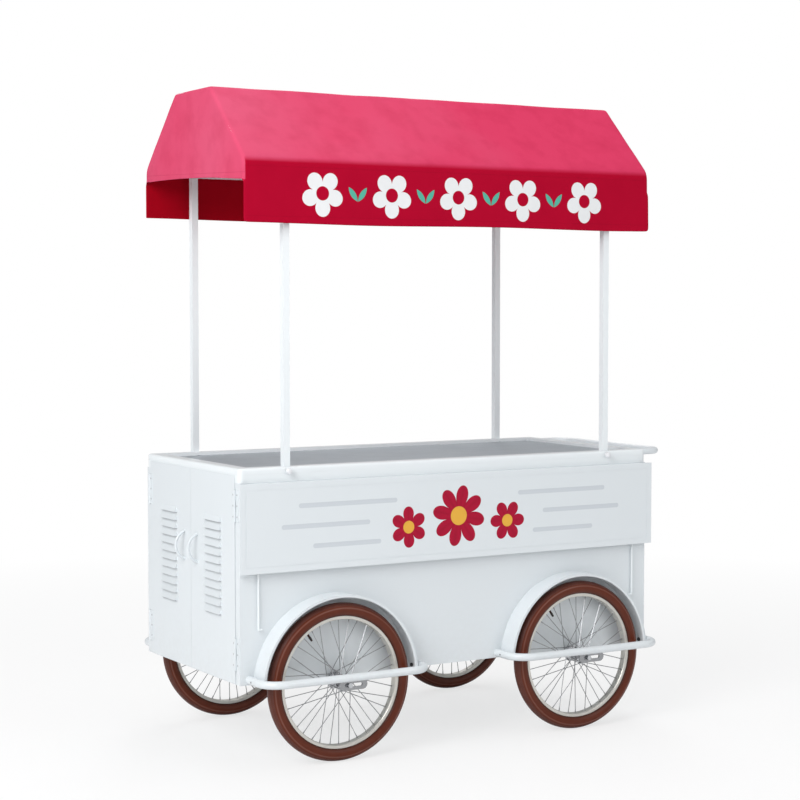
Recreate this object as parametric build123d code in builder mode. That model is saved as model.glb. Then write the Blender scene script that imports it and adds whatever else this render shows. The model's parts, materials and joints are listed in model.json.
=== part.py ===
"""Vending cart with a fabric roof: a sheet-metal cabinet on four spoked wheels, with louvred doors, a flap
counter, a push handle and a roof that lifts off on its four posts. Millimetres, +Z up, origin on the ground
under the middle of the overall box, +X along the counter towards the push handle, the customer's side at -Y.
"""

import os
from math import asin, cos, degrees, hypot, radians, sin, sqrt

from build123d import *

# Body sizes
body_length = 1560.0
body_depth = 700.0
body_above_axle = 10.0
rail_top = 930.0
rail_height = 45.0
sheet = 1.5
frame_tube = 25.0
frame_wall = 1.5
shelf_height = 575.0
shelf_lip = 20.0
seat_gap = 0.3

# Top rail and counter
rail_proud = 0.6
rail_width = 45.0
rail_corner = 14.0
rail_edge_round = 7.0
rail_groove = 1.5
rail_groove_depth = 0.8
rail_groove_drop = 20.0
rail_inner_corner = 6.0
counter_drop = 10.0
counter_skirt = 28.0
counter_corner = 5.5
bearer_inset = 290.0

# Doors in the left end
stile = 25.0
door_lap = 8.0
door_gap = 2.0
door_seam = 1.2
door_seam_inset = 12.0
door_depth = 18.0
door_sill = 15.0
door_low_gap = 2.0
door_top_drop = 22.0
louvre_count = 12
louvre_pitch = 26.4
louvre_width = 115.0
louvre_height = 17.0
louvre_proud = 9.0
louvre_crest = 3.75
louvre_skin = 1.8
louvre_rise = 357.0
louvre_offset = 166.0
pull_offset = 48.0
pull_height = 104.0
pull_rise = 393.0
pull_standoff = 32.0
pull_rod = 9.0
catch_width = 44.0
catch_height = 16.0
catch_depth = 16.0
catch_offset = 75.0

# Hinges, pins and the screws that turn in the rail
knuckle_radius = 4.0
pin_radius = 2.0
running_clearance = 0.05
leaf_width = 18.0
hinge_height = 100.0
hinge_inset = 93.0

# Flap on the front, its hinge and its stays
flap_height = 278.0
flap_depth = 10.0
flap_overhang = 10.0
flap_top_gap = 1.0
flap_lip = 24.0
flap_side_lip = 90.0
flap_line_inset = 19.0
flap_line = 2.0
flap_line_depth = 0.7
flap_hinge_bar = 6.0
flap_hinge_bar_height = 20.0
flap_hinge_inset = 30.0
flap_knuckles = 15
flap_knuckle_gap = 0.5
stay_rod = 6.0
stay_pin_radius = 2.5
stay_inset = 60.0
stay_pivot_drop = 200.0
stay_length = 250.0
stay_foot = 12.0
stay_eye_radius = 5.5
stay_eye_width = 7.0
stay_ear = 3.0
stay_catch_height = 26.0
flap_opening = 90.0

# Wheels
tyre_diameter = 500.0
tyre_section = 47.0
tyre_wall = 4.0
wheel_inset = 322.0
wheel_standoff = 45.0
rim_flange = 6.0
rim_depth = 5.0
rim_width = 28.0
rim_wall = 2.0
rim_chamfer = 3.0
rim_ledge = 5.0
rim_well_depth = 2.5
rim_well_slope = 2.0
bead_thickness = 4.0
hub_length = 84.0
hub_barrel_radius = 14.0
hub_flange_radius = 27.0
hub_flange_middle = 30.0
hub_flange = 3.0
hub_over_nuts = 126.0
bearing_radius = 11.0
bearing_width = 8.0
cone_radius = 8.0
axle_radius = 5.0
spokes_per_flange = 18
spoke_circle = 22.5
spoke_radius = 1.3
spoke_hole_radius = 1.65
spoke_crosses = 3
spoke_rim_offset = 3.0
spoke_stub = 1.5
valve_radius = 3.5
valve_length = 30.0
valve_steps = 1.75

# Axle plates, guard bars and fenders
plate_thickness = 5.0
plate_height = 32.0
plate_length = 100.0
plate_behind_axle = 36.0
plate_slot = 64.0
bracket_length = 80.0
nut_across = 15.0
nut_length = 8.0
guard_tube = 25.0
guard_wall = 2.0
guard_rise = 26.0
guard_bend = 62.0
fender_gap = 27.0
fender_sheet = 2.0
fender_width = 72.0
fender_edge = 5.0
fender_end_rise = 14.0
fender_bolt_radius = 3.0
fender_bolt_head = 6.0
fender_bolt_head_height = 4.0
fender_spacer = 1.5

# Push handle
handle_tube = 22.0
handle_wall = 2.0
handle_reach = 116.5
handle_inset = 55.0
handle_bend = 60.0
handle_drop = 13.0

# Roof
post_side = 22.0
post_wall = 1.5
post_inset_x = 167.0
post_inset_y = 17.0
socket_wall = 2.0
socket_clearance = 0.3
socket_depth = 130.0
screw_drop = 12.5
screw_radius = 4.0
screw_knob_radius = 9.5
screw_knob = 14.0
screw_knob_round = 6.0
screw_neck = 3.0
roof_end_inset = 8.0
roof_overhang = 20.0
eave_height = 1880.0
roof_rise = 234.0
ridge_half = 132.0
front_valance = 200.0
rear_valance = 162.0
gable_front_drop = 68.0
gable_rear_drop = 42.0
gable_sag = 8.0
cloth = 3.0
eave_round = 28.0
ridge_round = 18.0
roof_tube = 20.0
roof_wall = 1.5
rafter_depth = 20.0
rafter_cut = 1.0
eave_tube_inset = 12.0
ridge_tube_inset = 5.0

# Places worked out from the sizes
left_reach = body_length / 2 + rail_proud + seat_gap + sheet + pull_standoff + pull_rod / 2
right_reach = body_length / 2 + rail_proud + handle_reach + handle_tube / 2
cx = (left_reach - right_reach) / 2
tyre_radius = tyre_diameter / 2
body_bottom = tyre_radius + body_above_axle
rail_bottom = rail_top - rail_height
half_x = body_length / 2
half_y = body_depth / 2
left_face = cx - half_x
door_face = left_face - rail_proud - seat_gap - sheet
right_face = cx + half_x
rail_half_x = half_x + rail_proud
rail_half_y = half_y + rail_proud
frame_top = body_bottom + frame_tube
upright_x = half_x - sheet - frame_tube / 2
upright_y = half_y - sheet - frame_tube / 2
header_bottom = rail_bottom - frame_tube
counter_top_z = rail_top - counter_drop
counter_depth = 2 * (rail_half_y - rail_width - seat_gap)
wheel_y = half_y + wheel_standoff
wheel_offset = half_x - wheel_inset
wheel_places = {
    "front_left": (cx - wheel_offset, -1),
    "front_right": (cx + wheel_offset, -1),
    "rear_left": (cx - wheel_offset, 1),
    "rear_right": (cx + wheel_offset, 1),
}

os.makedirs("parts", exist_ok=True)


def save(part, name):
    """Label a finished piece and write it as its own node."""
    part.label = name
    export_step(part, f"parts/{name}.step")


def save_group(solids, name):
    """Write several separate solids as one node."""
    save(Compound(children=list(solids)), name)


def square_tube(start, direction, length, side, wall):
    """Square tube whose middle line starts at a point and runs along a direction."""
    sideways = (0, 1, 0) if abs(Vector(direction).Y) < 0.5 else (1, 0, 0)
    with BuildPart() as tube:
        with BuildSketch(Plane(origin=start, x_dir=sideways, z_dir=direction)):
            Rectangle(side, side)
            Rectangle(side - 2 * wall, side - 2 * wall, mode=Mode.SUBTRACT)
        extrude(amount=length)
    return tube.part


def bent_tube(points, bend, radius, wall):
    """Round tube swept along straight runs joined by tangent arcs."""
    with BuildPart() as tube:
        with BuildLine() as path:
            FilletPolyline(*points, radius=bend)
        with BuildSketch(Plane(origin=path.line @ 0, z_dir=path.line % 0)):
            Circle(radius)
            if wall:
                Circle(radius - wall, mode=Mode.SUBTRACT)
        sweep(path=path.line)
    return tube.part


def plain_box(low, high):
    """Box between two corners."""
    size = [b - a for a, b in zip(low, high)]
    with BuildPart() as block:
        with Locations(low):
            Box(*size, align=(Align.MIN, Align.MIN, Align.MIN))
    return block.part


def rod(start, end, radius):
    """Round rod between two points."""
    axis = Vector(*end) - Vector(*start)
    with BuildPart() as bar:
        with BuildSketch(Plane(origin=start, z_dir=axis)):
            Circle(radius)
        extrude(amount=axis.length)
    return bar.part


# Welded tube frame: base, uprights, shelf ledges, door header and the bearers under the counter
def make_body_frame():
    bearer_offset = half_x - bearer_inset
    tubes = []
    rail_y = half_y - frame_tube / 2
    base_z = body_bottom + frame_tube / 2
    for side in (-1, 1):
        start = (left_face, side * rail_y, base_z)
        tubes.append(square_tube(start, (1, 0, 0), body_length, frame_tube, frame_wall))
        inner = frame_tube / 2 - frame_wall
        for cap_x in (left_face, right_face - sheet):
            low = (cap_x, side * rail_y - inner, base_z - inner)
            tubes.append(plain_box(low, (cap_x + sheet, side * rail_y + inner, base_z + inner)))
        for end_x in (-upright_x, 0, upright_x):
            foot = (cx + end_x, side * upright_y, frame_top)
            tubes.append(square_tube(foot, (0, 0, 1), rail_bottom - frame_top, frame_tube, frame_wall))
        ledge_z = shelf_height - sheet - frame_tube / 2
        bay = upright_x - frame_tube
        for bay_start in (cx - upright_x + frame_tube / 2, cx + frame_tube / 2):
            start = (bay_start, side * upright_y, ledge_z)
            tubes.append(square_tube(start, (1, 0, 0), bay, frame_tube, frame_wall))
    between_rails = body_depth - 2 * frame_tube
    end_rail_x = half_x - frame_tube / 2
    for cross_x in (-end_rail_x, -wheel_offset, 0, wheel_offset, end_rail_x):
        start = (cx + cross_x, -between_rails / 2, base_z)
        tubes.append(square_tube(start, (0, 1, 0), between_rails, frame_tube, frame_wall))
    header = 2 * upright_y - frame_tube
    start = (cx - upright_x, -header / 2, header_bottom + frame_tube / 2)
    tubes.append(square_tube(start, (0, 1, 0), header, frame_tube, frame_wall))
    span = counter_depth - 2 * sheet
    for bearer_x in (-bearer_offset, 0, bearer_offset):
        start = (cx + bearer_x, -span / 2, counter_top_z - sheet - frame_tube / 2)
        tubes.append(square_tube(start, (0, 1, 0), span, frame_tube, frame_wall))
    save_group(tubes, "body_frame")


# Sheet panels round the cabinet
def make_panels():
    for name, side in (("front_panel", -1), ("rear_panel", 1)):
        inner, outer = sorted((side * (half_y - sheet), side * half_y))
        panel = plain_box((left_face, inner, frame_top), (right_face, outer, rail_bottom))
        save(panel, name)
    low = (right_face - sheet, -half_y + sheet, frame_top)
    save(plain_box(low, (right_face, half_y - sheet, rail_bottom)), "right_end_panel")


hinge_axis_y = half_y - stile
door_edge = hinge_axis_y - knuckle_radius - seat_gap
door_half = door_edge - door_lap
door_opening_low = frame_top + door_sill
door_low = body_bottom + door_low_gap
door_high = rail_top - door_top_drop


def make_left_end_frame():
    height = rail_bottom - frame_top
    opening = header_bottom - door_opening_low
    with BuildPart() as left_end_frame:
        with BuildSketch(Plane(origin=(left_face, 0, 0), x_dir=(0, 1, 0), z_dir=(1, 0, 0))):
            with Locations((0, frame_top + height / 2)):
                Rectangle(body_depth - 2 * sheet, height)
            with Locations((0, door_opening_low + opening / 2)):
                Rectangle(2 * door_half, opening, mode=Mode.SUBTRACT)
        extrude(amount=sheet)
    save(left_end_frame.part, "left_end_frame")


def make_floor_panel():
    notch = frame_tube + 2 * seat_gap
    with BuildPart() as floor_panel:
        with BuildSketch(Plane.XY.offset(frame_top)):
            with Locations((cx, 0)):
                Rectangle(body_length - 2 * sheet - 2 * seat_gap, body_depth - 2 * sheet - 2 * seat_gap)
            places = [(cx + x, y) for x in (-upright_x, 0, upright_x) for y in (-upright_y, upright_y)]
            with Locations(*places):
                Rectangle(notch, notch, mode=Mode.SUBTRACT)
        extrude(amount=sheet)
    save(floor_panel.part, "floor_panel")


def make_inner_shelf():
    reach = upright_x - frame_tube / 2 - seat_gap
    notch = frame_tube + 2 * seat_gap
    with BuildPart() as inner_shelf:
        with BuildSketch(Plane.XY.offset(shelf_height - sheet)):
            with Locations((cx, 0)):
                Rectangle(2 * reach, body_depth - 2 * sheet - 2 * seat_gap)
            with Locations((cx, -upright_y), (cx, upright_y)):
                Rectangle(notch, notch, mode=Mode.SUBTRACT)
        extrude(amount=sheet)
        lip_length = 2 * upright_y - frame_tube - 2 * seat_gap
        with Locations((cx - reach, 0, shelf_height)):
            Box(sheet, lip_length, shelf_lip, align=(Align.MIN, Align.CENTER, Align.MAX))
    save(inner_shelf.part, "inner_shelf")


# Hollow top rail with the square holes that take the post sockets
socket_side = post_side + 2 * socket_clearance + 2 * socket_wall
post_x = half_x - post_inset_x
post_y = half_y - post_inset_y
screw_height = rail_top - screw_drop
post_places = [(cx + x, y) for x in (-post_x, post_x) for y in (-post_y, post_y)]


def make_top_rail():
    outer = (2 * rail_half_x, 2 * rail_half_y)
    inner = (outer[0] - 2 * rail_width, outer[1] - 2 * rail_width)
    with BuildPart() as top_rail:
        with BuildSketch(Plane.XY.offset(rail_bottom)):
            with Locations((cx, 0)):
                RectangleRounded(*outer, rail_corner)
                RectangleRounded(*inner, rail_inner_corner, mode=Mode.SUBTRACT)
        extrude(amount=rail_top - rail_bottom)
        top_face = top_rail.faces().sort_by(Axis.Z)[-1]
        fillet(top_face.outer_wire().edges(), radius=rail_edge_round)
        with BuildSketch(Plane.XY.offset(rail_bottom + sheet)):
            with Locations((cx, 0)):
                RectangleRounded(outer[0] - 2 * sheet, outer[1] - 2 * sheet, rail_corner - sheet)
                RectangleRounded(inner[0] + 2 * sheet, inner[1] + 2 * sheet, rail_inner_corner,
                                 mode=Mode.SUBTRACT)
        extrude(amount=rail_top - rail_bottom - rail_edge_round - sheet, mode=Mode.SUBTRACT)
        with BuildSketch(Plane.XY.offset(rail_bottom)):
            with Locations(*post_places):
                Rectangle(socket_side, socket_side)
        extrude(amount=rail_top - rail_bottom, mode=Mode.SUBTRACT)
        with BuildSketch(Plane.XY.offset(rail_top - rail_groove_drop)):
            with Locations((cx, 0)):
                deep = rail_groove_depth
                RectangleRounded(outer[0] + 2 * deep, outer[1] + 2 * deep, rail_corner + deep)
                RectangleRounded(outer[0] - 2 * deep, outer[1] - 2 * deep, rail_corner - deep,
                                 mode=Mode.SUBTRACT)
        extrude(amount=rail_groove, mode=Mode.SUBTRACT)
        with BuildSketch(Plane.XZ):
            with Locations((cx - post_x, screw_height), (cx + post_x, screw_height)):
                Circle(screw_radius + running_clearance)
        extrude(amount=rail_half_y, both=True, mode=Mode.SUBTRACT)
    save(top_rail.part, "top_rail")


def make_counter_top():
    size = (2 * (rail_half_x - rail_width - seat_gap), counter_depth)
    with BuildPart() as counter_top:
        with BuildSketch(Plane.XY.offset(counter_top_z - counter_skirt)):
            with Locations((cx, 0)):
                RectangleRounded(*size, counter_corner)
        extrude(amount=counter_skirt)
        with BuildSketch(Plane.XY.offset(counter_top_z - counter_skirt)):
            with Locations((cx, 0)):
                RectangleRounded(size[0] - 2 * sheet, size[1] - 2 * sheet, counter_corner - sheet)
        extrude(amount=counter_skirt - sheet, mode=Mode.SUBTRACT)
    save(counter_top.part, "counter_top")


# Louvred doors: sheets that lap over the end frame, with a folded ring inside the opening
# and a column of pressed louvres, open underneath
hinge_axis_x = left_face - knuckle_radius - seat_gap
hinge_heights = (door_low + hinge_inset, door_high - hinge_inset)


def make_door(name, side):
    width = door_edge - door_seam / 2
    middle_y = side * (door_edge + door_seam / 2) / 2
    ring_width = door_half - door_gap - door_seam_inset
    ring_y = side * (door_half - door_gap + door_seam_inset) / 2
    ring_height = header_bottom - door_opening_low - 2 * door_gap
    ring_z = (header_bottom + door_opening_low) / 2
    first = door_low + louvre_rise - (louvre_count - 1) / 2 * louvre_pitch
    rows = [first + i * louvre_pitch for i in range(louvre_count)]
    with BuildPart() as door:
        with BuildSketch(Plane(origin=(door_face, 0, 0), x_dir=(0, 1, 0), z_dir=(1, 0, 0))):
            with Locations((middle_y, (door_low + door_high) / 2)):
                Rectangle(width, door_high - door_low)
        extrude(amount=sheet)
        with BuildSketch(Plane(origin=(door_face + sheet, 0, 0), x_dir=(0, 1, 0), z_dir=(1, 0, 0))):
            with Locations((ring_y, ring_z)):
                Rectangle(ring_width, ring_height)
                Rectangle(ring_width - 2 * sheet, ring_height - 2 * sheet, mode=Mode.SUBTRACT)
        extrude(amount=door_depth)
        middle = Plane(origin=(door_face, side * louvre_offset, 0), x_dir=(-1, 0, 0), z_dir=(0, 1, 0))
        with BuildSketch(middle):
            for row in rows:
                with BuildLine():
                    Polyline((0, row + louvre_height / 2), (0, row - louvre_height / 2),
                             (louvre_proud, row - louvre_height / 2), (0, row + louvre_height / 2))
                make_face()
        extrude(amount=louvre_width / 2, both=True)
        with BuildSketch(middle):
            for row in rows:
                with BuildLine():
                    Polyline((-sheet, row + louvre_height / 2 - louvre_crest),
                             (-sheet, row - louvre_height / 2),
                             (louvre_proud - louvre_skin, row - louvre_height / 2),
                             (0, row + louvre_height / 2 - louvre_crest), close=True)
                make_face()
        extrude(amount=louvre_width / 2 - sheet, both=True, mode=Mode.SUBTRACT)
    save(door.part, f"{name}_door")


def make_pull(name, side):
    """Bow of round rod, cut off flat where it meets the door."""
    y = side * pull_offset
    middle_z = door_low + pull_rise
    reach = (pull_height - pull_rod) / 2
    foot = door_face + pull_rod
    with BuildPart() as pull:
        with BuildLine() as bow:
            ThreePointArc((foot, y, middle_z - reach), (door_face - pull_standoff, y, middle_z),
                          (foot, y, middle_z + reach))
        with BuildSketch(Plane(origin=bow.line @ 0, z_dir=bow.line % 0)):
            Circle(pull_rod / 2)
        sweep(path=bow.line)
        split(bisect_by=Plane(origin=(door_face, 0, 0), z_dir=(-1, 0, 0)))
    save(pull.part, f"{name}_door_pull")


def hinge_leaf(side, middle_z, fixed):
    """One leaf of a door hinge. The fixed leaf has the outer knuckles and the pin."""
    third = hinge_height / 3
    away = side if fixed else -side
    face = left_face if fixed else door_face
    axis_y = side * hinge_axis_y
    low = middle_z - hinge_height / 2
    spans = ((low, low + third - seat_gap), (low + 2 * third + seat_gap, low + hinge_height))
    if not fixed:
        spans = ((low + third, low + 2 * third),)
    with BuildPart() as leaf:
        plate = leaf_width - knuckle_radius - seat_gap
        near = axis_y + away * (knuckle_radius + seat_gap)
        with Locations((face, near + away * plate / 2, middle_z)):
            Box(sheet, plate, hinge_height, align=(Align.MAX, Align.CENTER, Align.CENTER))
        for span_low, span_high in spans:
            with BuildSketch(Plane.XY.offset(span_low)):
                with Locations((hinge_axis_x, axis_y)):
                    Circle(knuckle_radius)
                with Locations((face - sheet / 2, axis_y + away * (knuckle_radius + seat_gap) / 2)):
                    Rectangle(sheet, knuckle_radius + seat_gap)
            extrude(amount=span_high - span_low)
        with BuildSketch(Plane.XY.offset(low)):
            with Locations((hinge_axis_x, axis_y)):
                Circle(pin_radius if fixed else pin_radius + running_clearance)
        extrude(amount=hinge_height, mode=Mode.ADD if fixed else Mode.SUBTRACT)
    return leaf.part


def make_doors():
    fixed_leaves = []
    for name, side in (("front", -1), ("rear", 1)):
        make_door(name, side)
        make_pull(name, side)
        fixed_leaves += [hinge_leaf(side, z, True) for z in hinge_heights]
        save_group([hinge_leaf(side, z, False) for z in hinge_heights], f"{name}_door_hinge_leaves")
    save_group(fixed_leaves, "door_hinge_fixed_leaves")
    make_catches()


def make_catches():
    """A catch for each door, under the header and behind the door's ring."""
    front = door_face + sheet + door_depth + seat_gap
    catches = []
    for side in (-1, 1):
        near = side * catch_offset - catch_width / 2
        low = (front, near, header_bottom - catch_height)
        catches.append(plain_box(low, (front + catch_depth, near + catch_width, header_bottom)))
    save_group(catches, "door_catches")


# Flap on the front: a folded tray hung from a long hinge, with two stays
flap_hinge_y = -half_y - flap_hinge_bar - knuckle_radius - seat_gap
flap_back = flap_hinge_y - knuckle_radius - seat_gap
flap_front = flap_back - flap_depth
flap_top = rail_bottom - flap_top_gap
flap_hinge_z = flap_top - knuckle_radius
flap_low = flap_top - flap_height
flap_length = body_length + 2 * flap_overhang
flap_hinge_length = body_length - 2 * flap_hinge_inset


def make_flap():
    with BuildPart() as flap:
        with Locations((cx, flap_front, flap_low)):
            Box(flap_length, flap_depth, flap_height, align=(Align.CENTER, Align.MIN, Align.MIN))
        hollow_depth = flap_depth - 2 * sheet
        with Locations((cx, flap_front + sheet, flap_low + sheet)):
            Box(flap_length - 2 * sheet, hollow_depth, flap_height - 2 * sheet,
                align=(Align.CENTER, Align.MIN, Align.MIN), mode=Mode.SUBTRACT)
        with Locations((cx, flap_back, flap_low + flap_lip)):
            Box(flap_length - 2 * flap_side_lip, sheet, flap_height - 2 * flap_lip,
                align=(Align.CENTER, Align.MAX, Align.MIN), mode=Mode.SUBTRACT)
        with BuildSketch(Plane.XZ.offset(-flap_front)):
            with Locations((cx, flap_low + flap_height / 2)):
                Rectangle(flap_length - 2 * flap_line_inset, flap_height - 2 * flap_line_inset)
                Rectangle(flap_length - 2 * (flap_line_inset + flap_line),
                          flap_height - 2 * (flap_line_inset + flap_line), mode=Mode.SUBTRACT)
        extrude(amount=-flap_line_depth, mode=Mode.SUBTRACT)
    save(flap.part, "counter_flap")


def hinge_strip(fixed):
    """One side of the long hinge. Its knuckles alternate with the other side's."""
    pitch = flap_hinge_length / flap_knuckles
    start = cx - flap_hinge_length / 2
    bar_face = -half_y - flap_hinge_bar
    clear = knuckle_radius + seat_gap
    with BuildPart() as strip:
        if fixed:
            bar_y = (bar_face, -half_y)
            bar_top = flap_hinge_z
            web_y = (flap_hinge_y, bar_face)
        else:
            bar_y = (flap_back, flap_back + sheet)
            bar_top = flap_hinge_z - clear
            web_y = bar_y
        low = flap_hinge_z - flap_hinge_bar_height
        with Locations((cx, bar_y[0], low)):
            Box(flap_hinge_length, bar_y[1] - bar_y[0], bar_top - low,
                align=(Align.CENTER, Align.MIN, Align.MIN))
        for i in range(0 if fixed else 1, flap_knuckles, 2):
            knuckle_start = start + i * pitch + flap_knuckle_gap / 2
            length = pitch - flap_knuckle_gap
            with BuildSketch(Plane.YZ.offset(knuckle_start)):
                with Locations((flap_hinge_y, flap_hinge_z)):
                    Circle(knuckle_radius)
                with Locations(((web_y[0] + web_y[1]) / 2, flap_hinge_z - clear / 2)):
                    Rectangle(web_y[1] - web_y[0], clear)
            extrude(amount=length)
        with BuildSketch(Plane.YZ.offset(start)):
            with Locations((flap_hinge_y, flap_hinge_z)):
                Circle(pin_radius if fixed else pin_radius + running_clearance)
        extrude(amount=flap_hinge_length, mode=Mode.ADD if fixed else Mode.SUBTRACT)
    return strip.part


stay_offset = half_x - stay_inset
stay_y = (flap_back - half_y) / 2
stay_pivot_z = flap_hinge_z - stay_pivot_drop
open_reach = stay_y - flap_hinge_y + stay_pivot_drop
stay_lean = degrees(asin(open_reach / stay_length))
stay_ratio = -(flap_opening + stay_lean) / flap_opening
stay_catch_z = flap_hinge_z - (stay_y - flap_hinge_y) - stay_length * cos(radians(stay_lean))


def make_stay(name, side):
    x = cx + side * stay_offset
    foot_z = stay_pivot_z - stay_length
    with BuildPart() as stay:
        with BuildSketch(Plane.YZ.offset(x - stay_eye_width / 2)):
            with Locations((stay_y, stay_pivot_z)):
                Circle(stay_eye_radius)
        extrude(amount=stay_eye_width)
        with BuildSketch(Plane.XY.offset(stay_pivot_z)):
            with Locations((x, stay_y)):
                Circle(stay_rod / 2)
        extrude(amount=-stay_length)
        with BuildSketch(Plane.YZ.offset(x)):
            with Locations((stay_y, foot_z)):
                Circle(stay_rod / 2)
        extrude(amount=-side * stay_foot)
        with Locations((x, stay_y, foot_z)):
            Sphere(stay_rod / 2)
        with BuildSketch(Plane.YZ.offset(x - stay_eye_width)):
            with Locations((stay_y, stay_pivot_z)):
                Circle(stay_pin_radius + running_clearance)
        extrude(amount=2 * stay_eye_width, mode=Mode.SUBTRACT)
    save(stay.part, f"{name}_stay")


def stay_lug(side):
    """Forked lug with its pin, welded on the back of the flap."""
    x = cx + side * stay_offset
    inner = stay_eye_width / 2 + seat_gap
    outer = inner + stay_ear
    reach = stay_y - flap_back + stay_eye_radius
    with BuildPart() as lug:
        for ear in (-1, 1):
            with BuildSketch(Plane.YZ.offset(x + ear * inner)):
                with BuildLine():
                    Polyline((flap_back, stay_pivot_z + 2 * stay_eye_radius),
                             (flap_back, stay_pivot_z - 2 * stay_eye_radius),
                             (flap_back + reach, stay_pivot_z - stay_eye_radius),
                             (flap_back + reach, stay_pivot_z + stay_eye_radius), close=True)
                make_face()
            extrude(amount=ear * stay_ear)
        with BuildSketch(Plane.YZ.offset(x - outer)):
            with Locations((stay_y, stay_pivot_z)):
                Circle(stay_pin_radius)
        extrude(amount=2 * outer)
    return lug.part


def stay_eye(side):
    """Ear on the body with the hole that takes the stay's foot when the flap is up."""
    tip = cx + side * (stay_offset - stay_foot - seat_gap)
    reach = flap_back + seat_gap
    with BuildPart() as eye:
        with BuildSketch(Plane.YZ.offset(tip)):
            with BuildLine():
                Polyline((-half_y, stay_catch_z + stay_catch_height / 2),
                         (reach, stay_catch_z + stay_catch_height / 4),
                         (reach, stay_catch_z - stay_catch_height / 4),
                         (-half_y, stay_catch_z - stay_catch_height / 2), close=True)
            make_face()
            with Locations((stay_y, stay_catch_z)):
                Circle(stay_rod / 2 + seat_gap, mode=Mode.SUBTRACT)
        extrude(amount=-side * stay_ear)
    return eye.part


def make_flap_gear():
    make_flap()
    save(hinge_strip(True), "flap_hinge_bar")
    save(hinge_strip(False), "flap_hinge_leaf")
    make_stay("left", -1)
    make_stay("right", 1)
    save_group([stay_lug(-1), stay_lug(1)], "stay_lugs")
    save_group([stay_eye(-1), stay_eye(1)], "stay_eyes")


# Wheels: built once about the origin with the axle along Y, then set in their four places
half_rim = rim_width / 2
rim_seat_radius = tyre_radius - tyre_section
rim_flange_radius = rim_seat_radius + rim_flange
rim_inner_radius = rim_seat_radius - rim_depth
tyre_centre = tyre_radius - tyre_section / 2
spoke_step = 360 / spokes_per_flange
valve_turn = radians(valve_steps * spoke_step)
valve_way = Vector(sin(valve_turn), 0, cos(valve_turn))


def tyre_shape():
    """Hollow tyre with its two beads, and the valve of its tube."""
    bead_out = half_rim - rim_wall - seat_gap / 2
    outer_r = tyre_section / 2
    inner_r = outer_r - tyre_wall
    edge = rim_flange_radius + seat_gap
    edge_y = sqrt(outer_r**2 - (tyre_centre - edge) ** 2)
    inner_edge_y = bead_out - bead_thickness
    inner_edge = tyre_centre - sqrt(inner_r**2 - inner_edge_y**2)
    with BuildPart() as tyre:
        with BuildSketch(Plane.XY):
            with BuildLine():
                ThreePointArc((edge, edge_y), (tyre_radius, 0), (edge, -edge_y))
                Polyline((edge, -edge_y), (edge, -bead_out), (rim_seat_radius, -bead_out),
                         (rim_seat_radius, -inner_edge_y), (inner_edge, -inner_edge_y))
                ThreePointArc((inner_edge, -inner_edge_y), (tyre_centre + inner_r, 0),
                              (inner_edge, inner_edge_y))
                Polyline((inner_edge, inner_edge_y), (rim_seat_radius, inner_edge_y),
                         (rim_seat_radius, bead_out), (edge, bead_out), (edge, edge_y))
            make_face()
        revolve(axis=Axis.Y)
    base = rim_seat_radius - valve_radius
    tip = base - valve_length
    valve = rod(tuple(valve_way * base), tuple(valve_way * tip), valve_radius)
    return tyre.part, valve


def rim_shape():
    side = half_rim - rim_wall
    well = rim_seat_radius - rim_well_depth
    foot = rim_seat_radius - rim_chamfer
    flat = half_rim - rim_chamfer
    ledge = side - rim_ledge
    floor = ledge - rim_well_slope
    with BuildPart() as rim:
        with BuildSketch(Plane.XY):
            with BuildLine():
                Polyline((rim_flange_radius, half_rim), (foot, half_rim), (rim_inner_radius, flat),
                         (rim_inner_radius, -flat), (foot, -half_rim), (rim_flange_radius, -half_rim),
                         (rim_flange_radius, -side), (rim_seat_radius, -side), (rim_seat_radius, -ledge),
                         (well, -floor), (well, floor), (rim_seat_radius, ledge),
                         (rim_seat_radius, side), (rim_flange_radius, side), close=True)
            make_face()
        revolve(axis=Axis.Y)
        with BuildSketch(Plane(origin=valve_way * (rim_inner_radius - valve_length), z_dir=valve_way)):
            Circle(valve_radius + seat_gap)
        extrude(amount=2 * valve_length, mode=Mode.SUBTRACT)
    return rim.part


flange_inner = hub_flange_middle - hub_flange / 2
flange_outer = hub_flange_middle + hub_flange / 2


def hub_shape():
    """Flanged hub shell with a drilled hole for each spoke and a seat for a bearing at each end."""
    half = hub_length / 2
    with BuildPart() as hub:
        with BuildSketch(Plane.XY):
            with BuildLine():
                Polyline((hub_barrel_radius, half), (hub_barrel_radius, flange_outer),
                         (hub_flange_radius, flange_outer), (hub_flange_radius, flange_inner),
                         (hub_barrel_radius, flange_inner), (hub_barrel_radius, -flange_inner),
                         (hub_flange_radius, -flange_inner), (hub_flange_radius, -flange_outer),
                         (hub_barrel_radius, -flange_outer), (hub_barrel_radius, -half),
                         (bearing_radius + running_clearance, -half),
                         (bearing_radius + running_clearance, -half + bearing_width),
                         (cone_radius, -half + bearing_width), (cone_radius, half - bearing_width),
                         (bearing_radius + running_clearance, half - bearing_width),
                         (bearing_radius + running_clearance, half), close=True)
            make_face()
        revolve(axis=Axis.Y)
        for side in (-1, 1):
            turn = 0 if side > 0 else spoke_step / 2
            with BuildSketch(Plane.XZ.offset(-side * hub_flange_middle)):
                with PolarLocations(spoke_circle, spokes_per_flange, start_angle=turn):
                    Circle(spoke_hole_radius)
            extrude(amount=hub_flange, both=True, mode=Mode.SUBTRACT)
    return hub.part


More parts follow.
